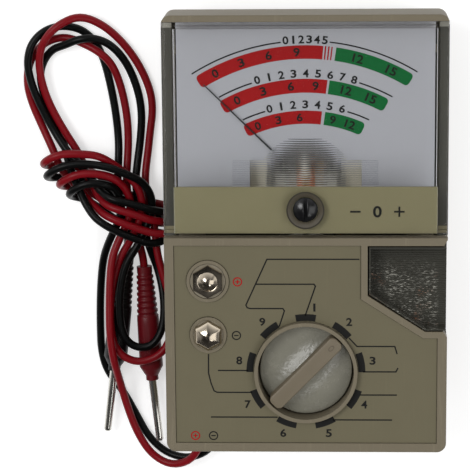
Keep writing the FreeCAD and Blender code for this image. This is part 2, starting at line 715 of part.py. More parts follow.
def make_dial_screws():
    screws = []
    for x, y in mirrored_places(dial_screw_place):
        shank = cylinder(x, y, dial_screw_radius, frame_base + 0.5, dial_top)
        head = cylinder(x, y, dial_screw_head_radius, dial_top, dial_top + dial_screw_head)
        slot = box(x - 2, x + 2, y - 0.2, y + 0.2, dial_top + dial_screw_head / 2, dial_top + 1)
        screws.append(join(shank, head).cut(slot))
    return screws


def ring_place(radius, degrees):
    angle = math.radians(degrees)
    return radius * math.cos(angle), pivot_y + radius * math.sin(angle)


def make_needle_stops():
    pins = []
    spread = math.degrees((stop_radius + pointer_width / 2 + stop_clearance) / stop_ring)
    for angle in (pointer_rest + spread, pointer_rest - pointer_swing - spread):
        x, y = ring_place(stop_ring, angle)
        pins.append(cylinder(x, y, stop_radius, dial_top, dial_top + stop_height))
    return pins


# Moving-coil movement

def make_yoke():
    return tube(0, pivot_y, yoke_outer, yoke_inner, magnet_low, magnet_high)


def make_magnet_core():
    return cylinder(0, pivot_y, core_radius, magnet_low, magnet_high).cut(
        cylinder(0, pivot_y, pivot_shaft_radius + coil_gap, magnet_low - 1, magnet_high + 1))


def make_core_webs():
    middle = (magnet_low + magnet_high) / 2
    gap = tube(0, pivot_y, yoke_inner, core_radius, middle - web_height / 2, middle + web_height / 2)
    webs = []
    for way in (1, -1):
        low_y = pivot_y if way > 0 else pivot_y - yoke_outer
        webs.append(gap.common(box(-web_width / 2, web_width / 2, low_y, low_y + yoke_outer, 0, front)))
    return webs


def make_pillars():
    pillars = []
    for angle in pillar_angles:
        x, y = ring_place(pillar_ring, angle)
        pillars.append(cylinder(x, y, pillar_radius, magnet_high, frame_base))
    return pillars


def bridge_places():
    return [(-pillar_ring, pivot_y), (pillar_ring, pivot_y)]


def make_bridge(z0, post_low, post_high, spring_post=None):
    strip = box(-bridge_reach, bridge_reach, pivot_y - bridge_width / 2, pivot_y + bridge_width / 2, z0,
                z0 + bridge_thickness)
    posts = [cylinder(x, y, pillar_radius, post_low, post_high) for x, y in bridge_places()]
    if spring_post:
        posts.append(spring_post)
    bridge = join(strip, *posts)
    tools = [cylinder(x, y, bridge_screw_radius, z0 - 20, z0 + 20) for x, y in bridge_places()]
    tools.append(cylinder(0, pivot_y, jewel_radius, z0 - 1, z0 + bridge_thickness + 1))
    return bridge.cut(tools)


def make_upper_bridge():
    return make_bridge(upper_bridge_base, magnet_high, upper_bridge_base)


def make_lower_bridge():
    post_x = -spring_end_radius() - spring_wire / 2 - spring_post_radius
    post = cylinder(post_x, pivot_y, spring_post_radius, lower_bridge_base, lower_spring_base + spring_wire)
    return make_bridge(lower_bridge_base, lower_bridge_top, magnet_low, post)


def make_bridge_screws():
    screws = []
    for x, y in bridge_places():
        upper = cylinder(x, y, bridge_screw_radius, magnet_high, upper_bridge_top)
        upper_head = cylinder(x, y, bridge_screw_head_radius, upper_bridge_top,
                              upper_bridge_top + bridge_screw_head)
        lower = cylinder(x, y, bridge_screw_radius, lower_bridge_base, magnet_low)
        lower_head = cylinder(x, y, bridge_screw_head_radius, lower_bridge_base - bridge_screw_head,
                              lower_bridge_base)
        screws.append(join(upper, upper_head))
        screws.append(join(lower, lower_head))
    return screws


def make_jewel_screws():
    bore = pivot_radius + pivot_clearance
    upper = cylinder(0, pivot_y, jewel_radius, upper_jewel_low, upper_bridge_top + jewel_overhang)
    upper = upper.cut(cylinder(0, pivot_y, bore, upper_jewel_low - 1, upper_jewel_low + jewel_bore_depth))
    lower = cylinder(0, pivot_y, jewel_radius, lower_bridge_base - jewel_overhang, lower_jewel_high)
    lower = lower.cut(cylinder(0, pivot_y, bore, lower_jewel_high - jewel_bore_depth, lower_jewel_high + 1))
    return [upper, lower]


def make_pivot_shaft():
    low = lower_jewel_high + pivot_clearance * 2
    high = upper_jewel_low - pivot_clearance * 2
    shaft = cylinder(0, pivot_y, pivot_shaft_radius, low, high)
    tips = cylinder(0, pivot_y, pivot_radius, low - pivot_length, high + pivot_length)
    return join(shaft, tips)


def make_moving_coil():
    outer = box(-coil_outer, coil_outer, pivot_y - coil_width / 2, pivot_y + coil_width / 2, coil_low,
                coil_high)
    inner = box(-coil_inner, coil_inner, pivot_y - coil_width, pivot_y + coil_width,
                magnet_low - coil_end_gap, magnet_high + coil_end_gap)
    bore = cylinder(0, pivot_y, pivot_shaft_radius, 0, front)
    coil = outer.cut([inner, bore]).common(cylinder(0, pivot_y, coil_outer, 0, front))
    return turned(coil, pointer_rest - 90, 0, pivot_y)


def make_balance_weights():
    top = balance_base + balance_thickness
    hub = cylinder(0, pivot_y, pointer_hub_radius, balance_base, top)
    arms = []
    for angle in (90, 180, 270):
        arm = box(0, balance_arm, pivot_y - balance_arm_width / 2, pivot_y + balance_arm_width / 2,
                  balance_base, top)
        weight = cylinder(balance_arm, pivot_y, balance_weight_radius, balance_base, top)
        arms += [turned(arm, angle, 0, pivot_y), turned(weight, angle, 0, pivot_y)]
    cross = join(hub, *arms).cut(cylinder(0, pivot_y, pivot_shaft_radius, 0, front))
    return turned(cross, pointer_rest, 0, pivot_y)


def make_pointer():
    low = pointer_base
    top = needle_base + pointer_thickness
    profile = [(0, low), (pointer_riser_start, low), (pointer_riser_end, needle_base),
               (pointer_length, needle_base),
               (pointer_length, top), (pointer_riser_end - 0.2, top),
               (pointer_riser_start - 0.2, low + pointer_thickness),
               (0, low + pointer_thickness)]
    points = [vector(x, pivot_y - pointer_width, z) for x, z in profile]
    blade = Part.Face(Part.makePolygon(points + points[:1])).extrude(vector(0, 2 * pointer_width, 0))
    root = pointer_width / 2
    tip = pointer_tip_width / 2
    plan = prism([(0, pivot_y - root), (pointer_length, pivot_y - tip), (pointer_length, pivot_y + tip),
                  (0, pivot_y + root)],
                 0, front)
    hub = cylinder(0, pivot_y, pointer_hub_radius, low, low + pointer_hub)
    pointer = join(blade.common(plan), hub).cut(cylinder(0, pivot_y, pivot_shaft_radius, 0, front))
    return turned(pointer, pointer_rest, 0, pivot_y)


def spring_pitch():
    return 2.4 * spring_wire


def spring_end_radius():
    return spring_inner + spring_pitch() * spring_turns


def make_hairspring(base, end_angle):
    """A flat spiral of half circles, each a little larger than the last."""
    z = base + spring_wire / 2
    step = spring_pitch() / 2
    edges = []
    start = spring_inner
    for i in range(int(round(spring_turns * 2))):
        way = 1 if i % 2 == 0 else -1
        radius = start + step / 2
        centre = vector(way * -step / 2, 0, z)
        first = vector(centre.x + way * radius, 0, z)
        middle = vector(centre.x, way * radius, z)
        last = vector(centre.x - way * radius, 0, z)
        edges.append(Part.Arc(first, middle, last).toShape())
        start += step
    wire = Part.Wire(edges)
    half = spring_wire / 2
    section = Part.makePolygon([vector(spring_inner - half, 0, z - half),
                                vector(spring_inner + half, 0, z - half),
                                vector(spring_inner + half, 0, z + half),
                                vector(spring_inner - half, 0, z + half),
                                vector(spring_inner - half, 0, z - half)])
    spring = wire.makePipeShell([section], True, False)
    end = 0 if int(round(spring_turns * 2)) % 2 == 0 else 180
    spring.rotate(vector(0, 0, 0), UP, end_angle - end)
    spring.translate(vector(0, pivot_y, 0))
    return spring


# Zero adjuster

def make_zero_screw():
    head = Part.makeSphere(zero_head_radius * 1.6,
                           vector(0, zero_y, front + zero_head_rise - zero_head_radius * 1.6))
    head = head.common(cylinder(0, zero_y, zero_head_radius, zero_head_base, front + 2))
    slot = box(-zero_slot_width / 2, zero_slot_width / 2, zero_y - 5, zero_y + 5,
               front + zero_head_rise - zero_slot_depth, front + 2)
    journal = cylinder(0, zero_y, zero_journal, zero_flange_base, zero_head_base)
    flange = cylinder(0, zero_y, zero_flange_radius, zero_flange_base, zero_flange_top)
    pin = cylinder(0, zero_y + zero_pin_offset, zero_pin_radius, zero_pin_low, zero_flange_base)
    return join(head.cut(slot), journal, flange, pin)


def make_zero_lever():
    top = lever_base + lever_thickness
    ring = cylinder(0, pivot_y, lever_ring, lever_base, top)
    arm = box(-lever_width / 2, lever_width / 2, pivot_y - lever_reach, pivot_y, lever_base, top)
    x, y = ring_place(spring_end_radius() + spring_wire / 2 + lever_post_gap + lever_post_radius,
                      lever_post_angle)
    foot = cylinder(x, y, lever_post_radius, upper_spring_base, top)
    pad = prism([(0, pivot_y - 1.0), (x - lever_post_radius, y - lever_post_radius),
                 (x + 1.0, y - lever_post_radius)],
                lever_base, top)
    slot_half = zero_pin_radius + lever_slot_clearance
    slot = box(-slot_half, slot_half, pivot_y - lever_reach - 1, pivot_y - lever_slot_start, lever_base - 1,
               top + 1)
    bore = cylinder(0, pivot_y, jewel_radius + pivot_clearance, lever_base - 1, top + 1)
    return join(ring, arm, foot, pad).cut([slot, bore])


# Selector switch

def make_selector_knob():
    disc = cylinder(0, selector_y, knob_radius, knob_base, knob_top)
    reach = well_radius - knob_bar_gap
    half = knob_bar_width / 2
    bar = box(-half, half, selector_y - reach, selector_y + reach, knob_base, knob_bar_top)
    bar = bar.common(cylinder(0, selector_y, knob_radius, knob_base, knob_bar_top))
    knob = join(disc, bar).cut(cylinder(0, selector_y, shaft_radius, knob_base - 1, knob_top + 1))
    return turned(knob, -selector_rest, 0, selector_y)


def make_selector_shaft():
    return cylinder(0, selector_y, shaft_radius, wiper_top, knob_top + 1)


def make_selector_bush():
    flange_base = well_floor_under - bush_flange
    body = cylinder(0, selector_y, bush_radius, flange_base - bush_drop / 2, well_floor_top)
    flange = cylinder(0, selector_y, bush_flange_radius, flange_base, well_floor_under)
    bore = cylinder(0, selector_y, shaft_radius + shaft_clearance, 0, front)
    return join(body, flange).cut(bore)


def make_switch_rotor():
    wheel = cylinder(0, selector_y, rotor_radius, wiper_top, rotor_top)
    pitch = 360.0 / selector_positions
    notch = 1.4
    notches = []
    for i in range(selector_positions):
        angle = math.radians(90 + i * pitch)
        reach = rotor_radius - rotor_valley + notch
        notches.append(cylinder(reach * math.cos(angle), selector_y + reach * math.sin(angle), notch,
                                wiper_top, rotor_top))
    return wheel.cut(notches + [cylinder(0, selector_y, shaft_radius, wiper_top - 1, rotor_top + 1)])


def make_wiper():
    base = wiper_top - wiper_thickness
    half = wiper_width / 2
    strip = box(-half, half, selector_y - wiper_reach, selector_y + wiper_reach, base, wiper_top)
    middle = (pad_inner + pad_outer) / 2
    contacts = []
    for way in (1, -1):
        ball = Part.makeSphere(wiper_contact_radius, vector(0, selector_y + way * middle, base))
        contacts.append(ball.common(box(-5, 5, selector_y - 10, selector_y + 10, 0, base)))
    return turned(join(strip, *contacts), -selector_rest, 0, selector_y)


def make_contact_pads():
    ring = tube(0, selector_y, pad_outer, pad_inner, board_top, board_top + pad_thickness)
    pitch = 360.0 / selector_positions
    half = math.radians(pitch * pad_share / 2)
    reach = pad_outer * 2
    wedge = prism([(0, selector_y), (reach * math.sin(-half), selector_y + reach * math.cos(half)),
                   (reach * math.sin(half), selector_y + reach * math.cos(half))], board_top,
                   board_top + pad_thickness)
    pad = ring.common(wedge)
    return [turned(pad, -i * pitch, 0, selector_y) for i in range(selector_positions)]


def make_detent_spring():
    nose_x = rotor_radius + detent_gap + detent_nose
    nose = cylinder(nose_x, selector_y, detent_nose, wiper_top, rotor_top)
    leaf = box(nose_x, nose_x + detent_leaf, selector_y - detent_width / 2, selector_y + detent_width / 2,
               wiper_top, well_floor_under)
    return join(leaf, nose)


# Circuit board

def make_circuit_board():
    points = [(-board_half_width, board_upper_y), (-board_half_width, board_neck_y),
              (-board_neck_half_width, board_neck_y),
              (-board_neck_half_width, board_lower_y), (board_neck_half_width, board_lower_y),
              (board_neck_half_width, board_neck_y), (board_half_width, board_neck_y),
              (board_half_width, board_upper_y)]
    plate = prism(points, board_under, board_top)
    return plate.cut([cylinder(x, y, board_screw_radius, 0, front) for x, y in board_bosses])


def make_board_screws():
    screws = []
    for x, y in board_bosses:
        shank = cylinder(x, y, board_screw_radius, board_under, board_top + board_screw_grip)
        head = cylinder(x, y, board_screw_head_radius, board_under - board_screw_head, board_under)
        slot = box(x - 2, x + 2, y - 0.25, y + 0.25, board_under - 2, board_under - board_screw_head / 2)
        screws.append(join(shank, head).cut(slot))
    return screws


def make_resistors():
    parts = []
    height = board_top + resistor_lift + resistor_radius
    half = resistor_length / 2
    foot = half + 1.2
    for x, y, turn in resistor_places:
        body = Part.makeCylinder(resistor_radius, resistor_length, vector(x - half, y, height),
                                 vector(1, 0, 0))
        wire = Part.makeCylinder(resistor_wire, 2 * foot, vector(x - foot, y, height), vector(1, 0, 0))
        legs = [cylinder(x + way * (foot - resistor_wire), y, resistor_leg, board_top, height)
                for way in (-1, 1)]
        parts.append(turned(join(body, wire, *legs), turn, x, y))
    return parts


# Snap terminals

def make_terminal(y, flats, with_socket):
    base = front - terminal_base_sink
    shoulder = front + terminal_rise
    body = prism(hexagon_points(terminal_x, y, flats), base, shoulder)
    shank = cylinder(terminal_x, y, terminal_shank, panel_under - terminal_shank_drop, base)
    if with_socket:
        socket = cylinder(terminal_x, y, socket_radius, shoulder - socket_depth, shoulder + 1)
        dome = Part.makeCone(socket_dome_radius, terminal_dome_flats / 2, socket_depth + terminal_dome / 2,
                             vector(terminal_x, y, shoulder - socket_depth))
        return join(body.cut(socket), dome, shank)
    wires = [hexagon_wire(terminal_x, y, flats, shoulder),
             hexagon_wire(terminal_x, y, flats * 0.72, shoulder + terminal_dome * 0.62),
             hexagon_wire(terminal_x, y, terminal_dome_flats, shoulder + terminal_dome)]
    return join(body, Part.makeLoft(wires, True, True), shank)


def make_positive_terminal():
    return make_terminal(terminal_y, positive_flats, True)


def make_negative_terminal():
    return make_terminal(terminal_y - terminal_pitch, negative_flats, False)


def make_solder_lugs():
    lugs = []
    low = panel_under - lug_thickness
    half = lug_tail_width / 2
    for y, collar in terminals():
        ring = cylinder(terminal_x, y, lug_radius, low, panel_under)
        tail = box(terminal_x, terminal_x + lug_tail, y - half, y + half, low, panel_under)
        lugs.append(join(ring, tail).cut(cylinder(terminal_x, y, terminal_shank, 0, front)))
    return lugs


def make_terminal_nuts():
    nuts = []
    top = panel_under - lug_thickness
    for y, collar in terminals():
        nut = prism(hexagon_points(terminal_x, y, terminal_nut_flats), top - terminal_nut, top)
        nuts.append(nut.cut(cylinder(terminal_x, y, terminal_shank, 0, front)))
    return nuts


def wall_outside(z):
    """Where the rear cover's end wall stands at height z."""
    share = (parting_height - z) / parting_height
    return -half_length + rear_step + (back_inset - rear_step) * share


def make_grommets():
    grommets = []
    outer_end = wall_outside(lead_exit_z) - grommet_proud
    along = vector(0, 1, 0)
    for x in lead_holes():
        body = Part.makeCylinder(grommet_radius, lead_inner_y - outer_end,
                                 vector(x, outer_end, lead_exit_z), along)
        flange = Part.makeCylinder(grommet_flange_radius, grommet_flange,
                                   vector(x, lead_inner_y, lead_exit_z), along)
        bore = Part.makeCylinder(lead_radius + lead_bore_clearance, 20,
                                 vector(x, outer_end - 5, lead_exit_z), along)
        grommets.append(join(body, flange).cut(bore))
    return grommets


# Test leads and probes

def bent_path(points):
    """A wire of straight runs with a tangent arc at every corner, and the radii of its arcs."""
    points = [vector(*p) for p in points]
    edges = []
    radii = []
    last = points[0]
    for before, corner, after in zip(points, points[1:], points[2:]):
        back = before - corner
        ahead = after - corner
        reach = lead_bend_share * min(back.Length, ahead.Length)
        half_turn = (math.pi - back.getAngle(ahead)) / 2
        radius = reach / math.tan(half_turn)
        back.normalize()
        ahead.normalize()
        start = corner + back * reach
        end = corner + ahead * reach
        inward = back + ahead
        inward.normalize()
        middle = corner + inward * (radius / math.cos(half_turn) - radius)
        edges.append(Part.LineSegment(last, start).toShape())
        edges.append(Part.Arc(start, middle, end).toShape())
        radii.append(radius)
        last = end
    edges.append(Part.LineSegment(last, points[-1]).toShape())
    return Part.Wire(edges), radii


def self_gap(wire, radius):
    """Least gap between two stretches of one cord that are over three of its diameters apart along it."""
    step = 0.4
    skip = int(6 * radius / step) + 2
    points = [tuple(p) for p in wire.discretize(Distance=step)]
    nearest = min(math.dist(p, q) for i, p in enumerate(points) for q in points[i + skip:])
    return nearest - 2 * radius


def make_cord(name, points, radius):
    wire, radii = bent_path(points)
    way = vector(*points[1]) - vector(*points[0])
    section = Part.Wire(Part.makeCircle(radius, vector(*points[0]), way))
    cord = wire.makePipeShell([section], True, False)
    expected = math.pi * radius ** 2 * wire.Length
    print("%s: length %.1f, least bend radius %.2f, volume %.1f of %.1f, least gap to itself %.2f"
          % (name, wire.Length, min(radii), cord.Volume, expected, self_gap(wire, radius)))
    return cord


def probe_direction(way):
    direction = vector(way[0], way[1], probe_tilt)
    direction.normalize()
    return direction


def revolved(profile, start, direction):
    """A solid of revolution from (radius, distance) points along an axis."""
    points = [vector(r, 0, s) for r, s in profile]
    solid = Part.Face(Part.makePolygon(points + points[:1])).revolve(vector(0, 0, 0), UP, 360)
    solid.Placement = FreeCAD.Placement(start, FreeCAD.Rotation(UP, direction))
    return solid


def make_probe_pin(top, way, pin_way):
    """A straight pin whose root is buried in the probe's nose."""
    exit_point = vector(*top) + probe_direction(way) * probe_nub_end
    direction = probe_direction(pin_way)
    length = pin_root + pin_length
    profile = [(0, 0), (pin_radius, 0), (pin_radius, pin_root), (pin_tip_radius, length - pin_tip_round),
               (pin_tip_radius - pin_tip_round, length), (0, length)]
    return revolved(profile, exit_point - direction * pin_root, direction)


def make_probe_handle(top, way, pin):
    profile = [(0, 0), (probe_collar_radius, 0), (probe_collar_radius, probe_collar)]
    for i in range(probe_ribs):
        start = probe_collar + i * probe_rib_pitch
        rib = probe_rib_first + (probe_rib_last - probe_rib_first) * i / (probe_ribs - 1)
        valley = rib - probe_rib_depth
        profile += [(valley, start), (valley, start + 0.4 * probe_rib_pitch)]
        profile += [(rib, start + 0.5 * probe_rib_pitch), (rib, start + 0.9 * probe_rib_pitch)]
    profile += [(probe_shoulder_first, probe_collar + probe_ribs * probe_rib_pitch),
                (probe_shoulder_last, probe_shoulder_end), (probe_nose_radius, probe_nose_end),
                (probe_nub_radius, probe_nose_end), (probe_nub_radius, probe_nub_end), (0, probe_nub_end)]
    direction = probe_direction(way)
    bore = Part.makeCylinder(lead_radius + lead_bore_clearance, probe_bore_depth + 1,
                             vector(*top) - direction, direction)
    return revolved(profile, vector(*top), direction).cut([bore, pin])


def build():
    save("front_case", make_front_case())
    save("rear_cover", make_rear_cover())
    save_group("case_screws", make_case_screws())
    save("label_plate", make_label_plate())
    save("cell_tray", make_cell_tray())
    save("meter_cover", make_meter_cover())
    save("mask_strip", make_mask_strip())
    save("meter_frame", make_meter_frame())
    save_group("frame_screws", make_frame_screws())
    save("dial_plate", make_dial_plate())
    save_group("dial_screws", make_dial_screws())
    save_group("needle_stops", make_needle_stops())
    save("magnet_yoke", make_yoke())
    save("magnet_core", make_magnet_core())
    save_group("core_webs", make_core_webs())
    save_group("movement_pillars", make_pillars())
    save("upper_bridge", make_upper_bridge())
    save("lower_bridge", make_lower_bridge())
    save_group("bridge_screws", make_bridge_screws())
    save_group("jewel_screws", make_jewel_screws())
    save("upper_hairspring", make_hairspring(upper_spring_base, lever_post_angle))
    save("lower_hairspring", make_hairspring(lower_spring_base, 180.0))
    save("pivot_shaft", make_pivot_shaft())
    save("moving_coil", make_moving_coil())
    save("balance_weights", make_balance_weights())
    save("pointer", make_pointer())
    save("zero_adjust_screw", make_zero_screw())
    save("zero_lever", make_zero_lever())
    save("selector_knob", make_selector_knob())
    save("selector_shaft", make_selector_shaft())
    save("selector_bush", make_selector_bush())
    save("switch_rotor", make_switch_rotor())
    save("wiper", make_wiper())
    save_group("contact_pads", make_contact_pads())
    save("detent_spring", make_detent_spring())
    save("circuit_board", make_circuit_board())
    save_group("board_screws", make_board_screws())
    save_group("load_resistors", make_resistors())
    save("positive_terminal", make_positive_terminal())
    save("negative_terminal", make_negative_terminal())
    save_group("solder_lugs", make_solder_lugs())
    save_group("terminal_nuts", make_terminal_nuts())
    save_group("lead_grommets", make_grommets())
    red_pin = make_probe_pin(red_probe_top, red_probe_way, red_pin_way)
    black_pin = make_probe_pin(black_probe_top, black_probe_way, black_probe_way)
    save("red_probe_pin", red_pin)
    save("black_probe_pin", black_pin)
    save("red_probe_handle", make_probe_handle(red_probe_top, red_probe_way, red_pin))
    save("black_probe_handle", make_probe_handle(black_probe_top, black_probe_way, black_pin))
    save("red_lead", make_cord("red lead", red_route, lead_radius))
    save("black_lead", make_cord("black lead", black_route, lead_radius))
    tails = [make_cord("red tail", red_tail_route, tail_radius)]
    tails.append(make_cord("black tail", black_tail_route, tail_radius))
    save_group("lead_tails", tails)


build()
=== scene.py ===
"""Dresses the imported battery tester: leads, meter face, printed panel, knob, cell tray, finishes and stage.

Sizes below are millimetres in the tester's own frame, unless a comment says otherwise: X across it, Y towards
the meter end, Z out of the front face. They are turned into metres where a mesh is made.
"""

import math

import bmesh
import bpy
from mathutils import Matrix, Vector


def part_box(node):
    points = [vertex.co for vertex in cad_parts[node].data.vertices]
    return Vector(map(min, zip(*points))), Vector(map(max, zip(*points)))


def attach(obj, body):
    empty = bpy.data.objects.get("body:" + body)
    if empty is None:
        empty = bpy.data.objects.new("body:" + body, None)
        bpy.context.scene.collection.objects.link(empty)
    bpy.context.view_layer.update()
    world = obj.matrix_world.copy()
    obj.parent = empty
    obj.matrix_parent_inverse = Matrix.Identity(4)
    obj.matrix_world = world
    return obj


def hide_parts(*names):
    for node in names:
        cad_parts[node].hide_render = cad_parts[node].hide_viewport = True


bl_info = {
    "name": "Battery tester dressing",
    "version": (1, 0, 0),
    "blender": (4, 5, 0),
    "location": "3D View > Sidebar > Tester",
    "description": "Builds the visible pieces and finishes of an analogue battery tester",
    "category": "Object",
}

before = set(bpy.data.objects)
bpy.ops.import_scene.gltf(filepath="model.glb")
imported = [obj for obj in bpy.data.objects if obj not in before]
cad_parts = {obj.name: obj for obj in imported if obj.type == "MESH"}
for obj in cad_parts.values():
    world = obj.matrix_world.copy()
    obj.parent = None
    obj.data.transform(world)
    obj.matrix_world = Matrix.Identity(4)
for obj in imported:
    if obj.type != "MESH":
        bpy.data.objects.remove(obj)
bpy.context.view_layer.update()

# A millimetre in metres, a ring's start and end in degrees, and half a rib's width as a share of its pitch
MM = 0.001
FULL_TURN = (-180, 180)
RIB_SHARE = 0.47

# Angle from which a smooth piece keeps an edge sharp, and angle below which faces count as one flat face
SHARP_ANGLE = math.radians(38)
FLAT_ANGLE = math.radians(0.5)

# Points nearer than WELD_GAP are welded. A mitred corner reaches out by at most 1 / MITRE_LIMIT half widths.
WELD_GAP = 0.001
MITRE_LIMIT = 0.4

# How much bolder the figures are than the font, as a share of its size
FIGURE_WEIGHT = 0.024


def paint(red, green, blue):
    """A screen colour, 0 to 255, as the linear colour that shaders take."""
    channels = []
    for value in (red, green, blue):
        share = value / 255
        channels.append(share / 12.92 if share <= 0.04045 else ((share + 0.055) / 1.055) ** 2.4)
    return tuple(channels)


def top_of(node):
    """The height of a CAD node's top, in millimetres."""
    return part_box(node)[1][2] / MM


# Lamps: name, place and size in metres, and power in watts
LAMPS = [
    ("key", (-0.43, 0.22, 0.75), 0.35, 3.0),
    ("fill", (0.45, -0.1, 0.6), 0.5, 1.3),
    ("glint", (0.27, -0.48, 0.6), 0.14, 0.4),
]

# Half the floor's width in metres, and how far below the tester it lies
FLOOR_HALF = 1.5
FLOOR_DROP = 0.1

# Camera: half the picture's width and the focal length in pixels, its place, what it looks at, and its roll
# in degrees
HALF_PICTURE = 235
FOCAL_LENGTH = 2285
EYE = (6.9, 106.2, 540.2)
TARGET = (-16.1, 0.7, 29.0)
CAMERA_ROLL = -0.53

# Places on the tester
SELECTOR = (0.0, -31.7)
DIAL_CENTRE = (0.0, -4.7)
ZERO_SCREW = (0.0, 6.4)

# Gaps that keep faces out of one plane: the ink above what carries it, the clear cover above its ledge and
# above the mask strip, and the share of its width and length that the cover keeps. Heights that differ by
# less than SAME_LEVEL count as level.
PRINT_LIFT = 0.012
COVER_LIFT = 0.08
COVER_SHRINK = 0.9985
SAME_LEVEL = 0.01

# Ledge under the cover, coloured with painted light and shade for what shows through the clear wall: dark
# painted shade along the sides, pale painted light at the two ends. Its top and depth, the run of its
# colours, and where along Y each colour starts
SEAT_TOP = 18.1
SEAT_DEPTH = 0.2
SEAT_RUN = 50
SEAT_LIGHT_AND_SHADE = [(0.0, (140, 132, 104)), (1.3, (74, 73, 66)), (47.4, (150, 148, 138))]

# Rounding of the front case's and the cover's edges
CASE_ROUND = 0.22
COVER_ROUND = 0.25

# How far a lead runs inside the case, and the points that each lead follows from there to its probe
RED_ROUTE = [
    (-25.4, -46.0, 7.0), (-25.4, -53.0, 7.0), (-27.4, -59.6, 6.4), (-33.0, -62.2, 4.4), (-38.2, -59.8, 3.0),
    (-41.6, -54.4, 2.8), (-43.8, -48.0, 3.3), (-45.4, -41.0, 5.0), (-46.6, -34.0, 9.1), (-47.3, -28.0, 9.3),
    (-47.4, -21.6, 8.3), (-47.2, -15.1, 7.7), (-46.7, -9.6, 6.9), (-45.3, -5.9, 6.1), (-43.5, -2.4, 5.8),
    (-42.1, 0.8, 5.8), (-41.9, 4.4, 5.8), (-43.4, 7.8, 6.0), (-45.8, 10.2, 7.6), (-49.0, 11.2, 8.2),
    (-52.8, 11.4, 8.2), (-56.0, 10.6, 8.2), (-59.0, 8.6, 7.0), (-59.0, 7.2, 2.1), (-56.0, 6.8, 1.0),
    (-52.6, 5.9, 1.0), (-48.2, 2.9, 1.0), (-43.6, 0.2, 1.0), (-40.2, -1.4, 1.0), (-37.2, -1.9, 1.0),
    (-34.1, -2.0, 2.1), (-34.1, -0.6, 7.0), (-37.2, 0.0, 8.2), (-40.6, 1.3, 8.2), (-44.4, 2.4, 8.2),
    (-47.4, 3.3, 7.5), (-49.6, 4.9, 4.9), (-51.4, 7.8, 3.5), (-52.8, 10.6, 3.5), (-53.5, 13.4, 3.4),
    (-55.1, 16.4, 3.1), (-57.3, 19.8, 2.9), (-60.0, 24.6, 2.9), (-62.0, 29.1, 2.9), (-63.2, 33.7, 3.1),
    (-63.5, 38.1, 3.4), (-62.2, 42.5, 4.4), (-58.5, 46.4, 5.0), (-53.3, 48.5, 4.0), (-47.9, 45.9, 2.0),
    (-43.2, 41.3, 1.2), (-39.6, 36.0, 1.0), (-37.2, 30.2, 1.0), (-36.7, 25.4, 1.0), (-37.4, 20.6, 1.0),
    (-38.0, 15.5, 1.2), (-38.7, 10.5, 2.0), (-38.6, 6.2, 3.2), (-37.7, 2.2, 3.5), (-36.7, -1.4, 3.6),
    (-36.3, -5.0, 4.2), (-35.9, -9.0, 4.6), (-34.8, -13.2, 5.0), (-33.2, -18.5, 5.6), (-32.2, -24.0, 6.2),
    (-32.8, -29.2, 6.8), (-34.8, -32.8, 7.0), (-37.9, -34.6, 7.0), (-41.3, -35.2, 7.0), (-44.7, -33.7, 7.0),
    (-46.9, -30.4, 6.9), (-47.6, -24.7, 5.85), (-47.1, -18.3, 5.4), (-46.0, -13.5, 5.2), (-44.8, -9.6, 5.0),
    (-42.5, -5.9, 5.2), (-40.8, -2.6, 5.8), (-39.3, 0.9, 5.8), (-39.2, 4.6, 5.8), (-40.2, 7.8, 5.8),
    (-42.8, 10.6, 5.8), (-46.0, 13.2, 6.0), (-49.2, 15.5, 7.8), (-52.8, 16.0, 8.2), (-57.0, 16.1, 8.2),
    (-60.0, 15.4, 8.2), (-62.7, 13.6, 7.0), (-62.7, 12.2, 2.1), (-59.8, 11.9, 1.0), (-56.0, 12.0, 1.0),
    (-50.4, 10.0, 1.0), (-45.0, 6.2, 1.0), (-40.0, 3.5, 1.0), (-35.0, 2.5, 1.0), (-31.7, 2.1, 2.1),
    (-31.7, -2.9, 7.0), (-35.0, -3.5, 8.2), (-38.6, -2.6, 8.2), (-42.0, -1.4, 8.2), (-45.2, -0.1, 8.2),
    (-47.8, 0.9, 7.6), (-50.3, 2.3, 5.1), (-53.0, 4.8, 3.5), (-55.8, 8.0, 3.4), (-58.8, 11.4, 3.6),
    (-60.6, 16.0, 2.8), (-63.4, 21.9, 1.4), (-65.6, 27.0, 1.0), (-66.7, 31.5, 1.0), (-66.4, 36.0, 1.0),
    (-64.4, 39.9, 1.0), (-61.2, 42.3, 1.0), (-57.0, 43.1, 1.0), (-52.6, 41.4, 2.0), (-49.4, 39.9, 3.1),
    (-46.4, 37.2, 3.0), (-44.8, 33.2, 1.4), (-43.6, 28.4, 1.0), (-42.8, 23.0, 1.0), (-42.7, 17.6, 1.0),
    (-43.0, 12.8, 1.6), (-43.2, 9.2, 3.1), (-42.9, 5.2, 3.4), (-42.2, 1.2, 3.4), (-41.1, -2.8, 3.4),
    (-40.3, -7.0, 3.0), (-39.42, -10.84, 2.33), (-39.2, -14.74, 2.41),
]
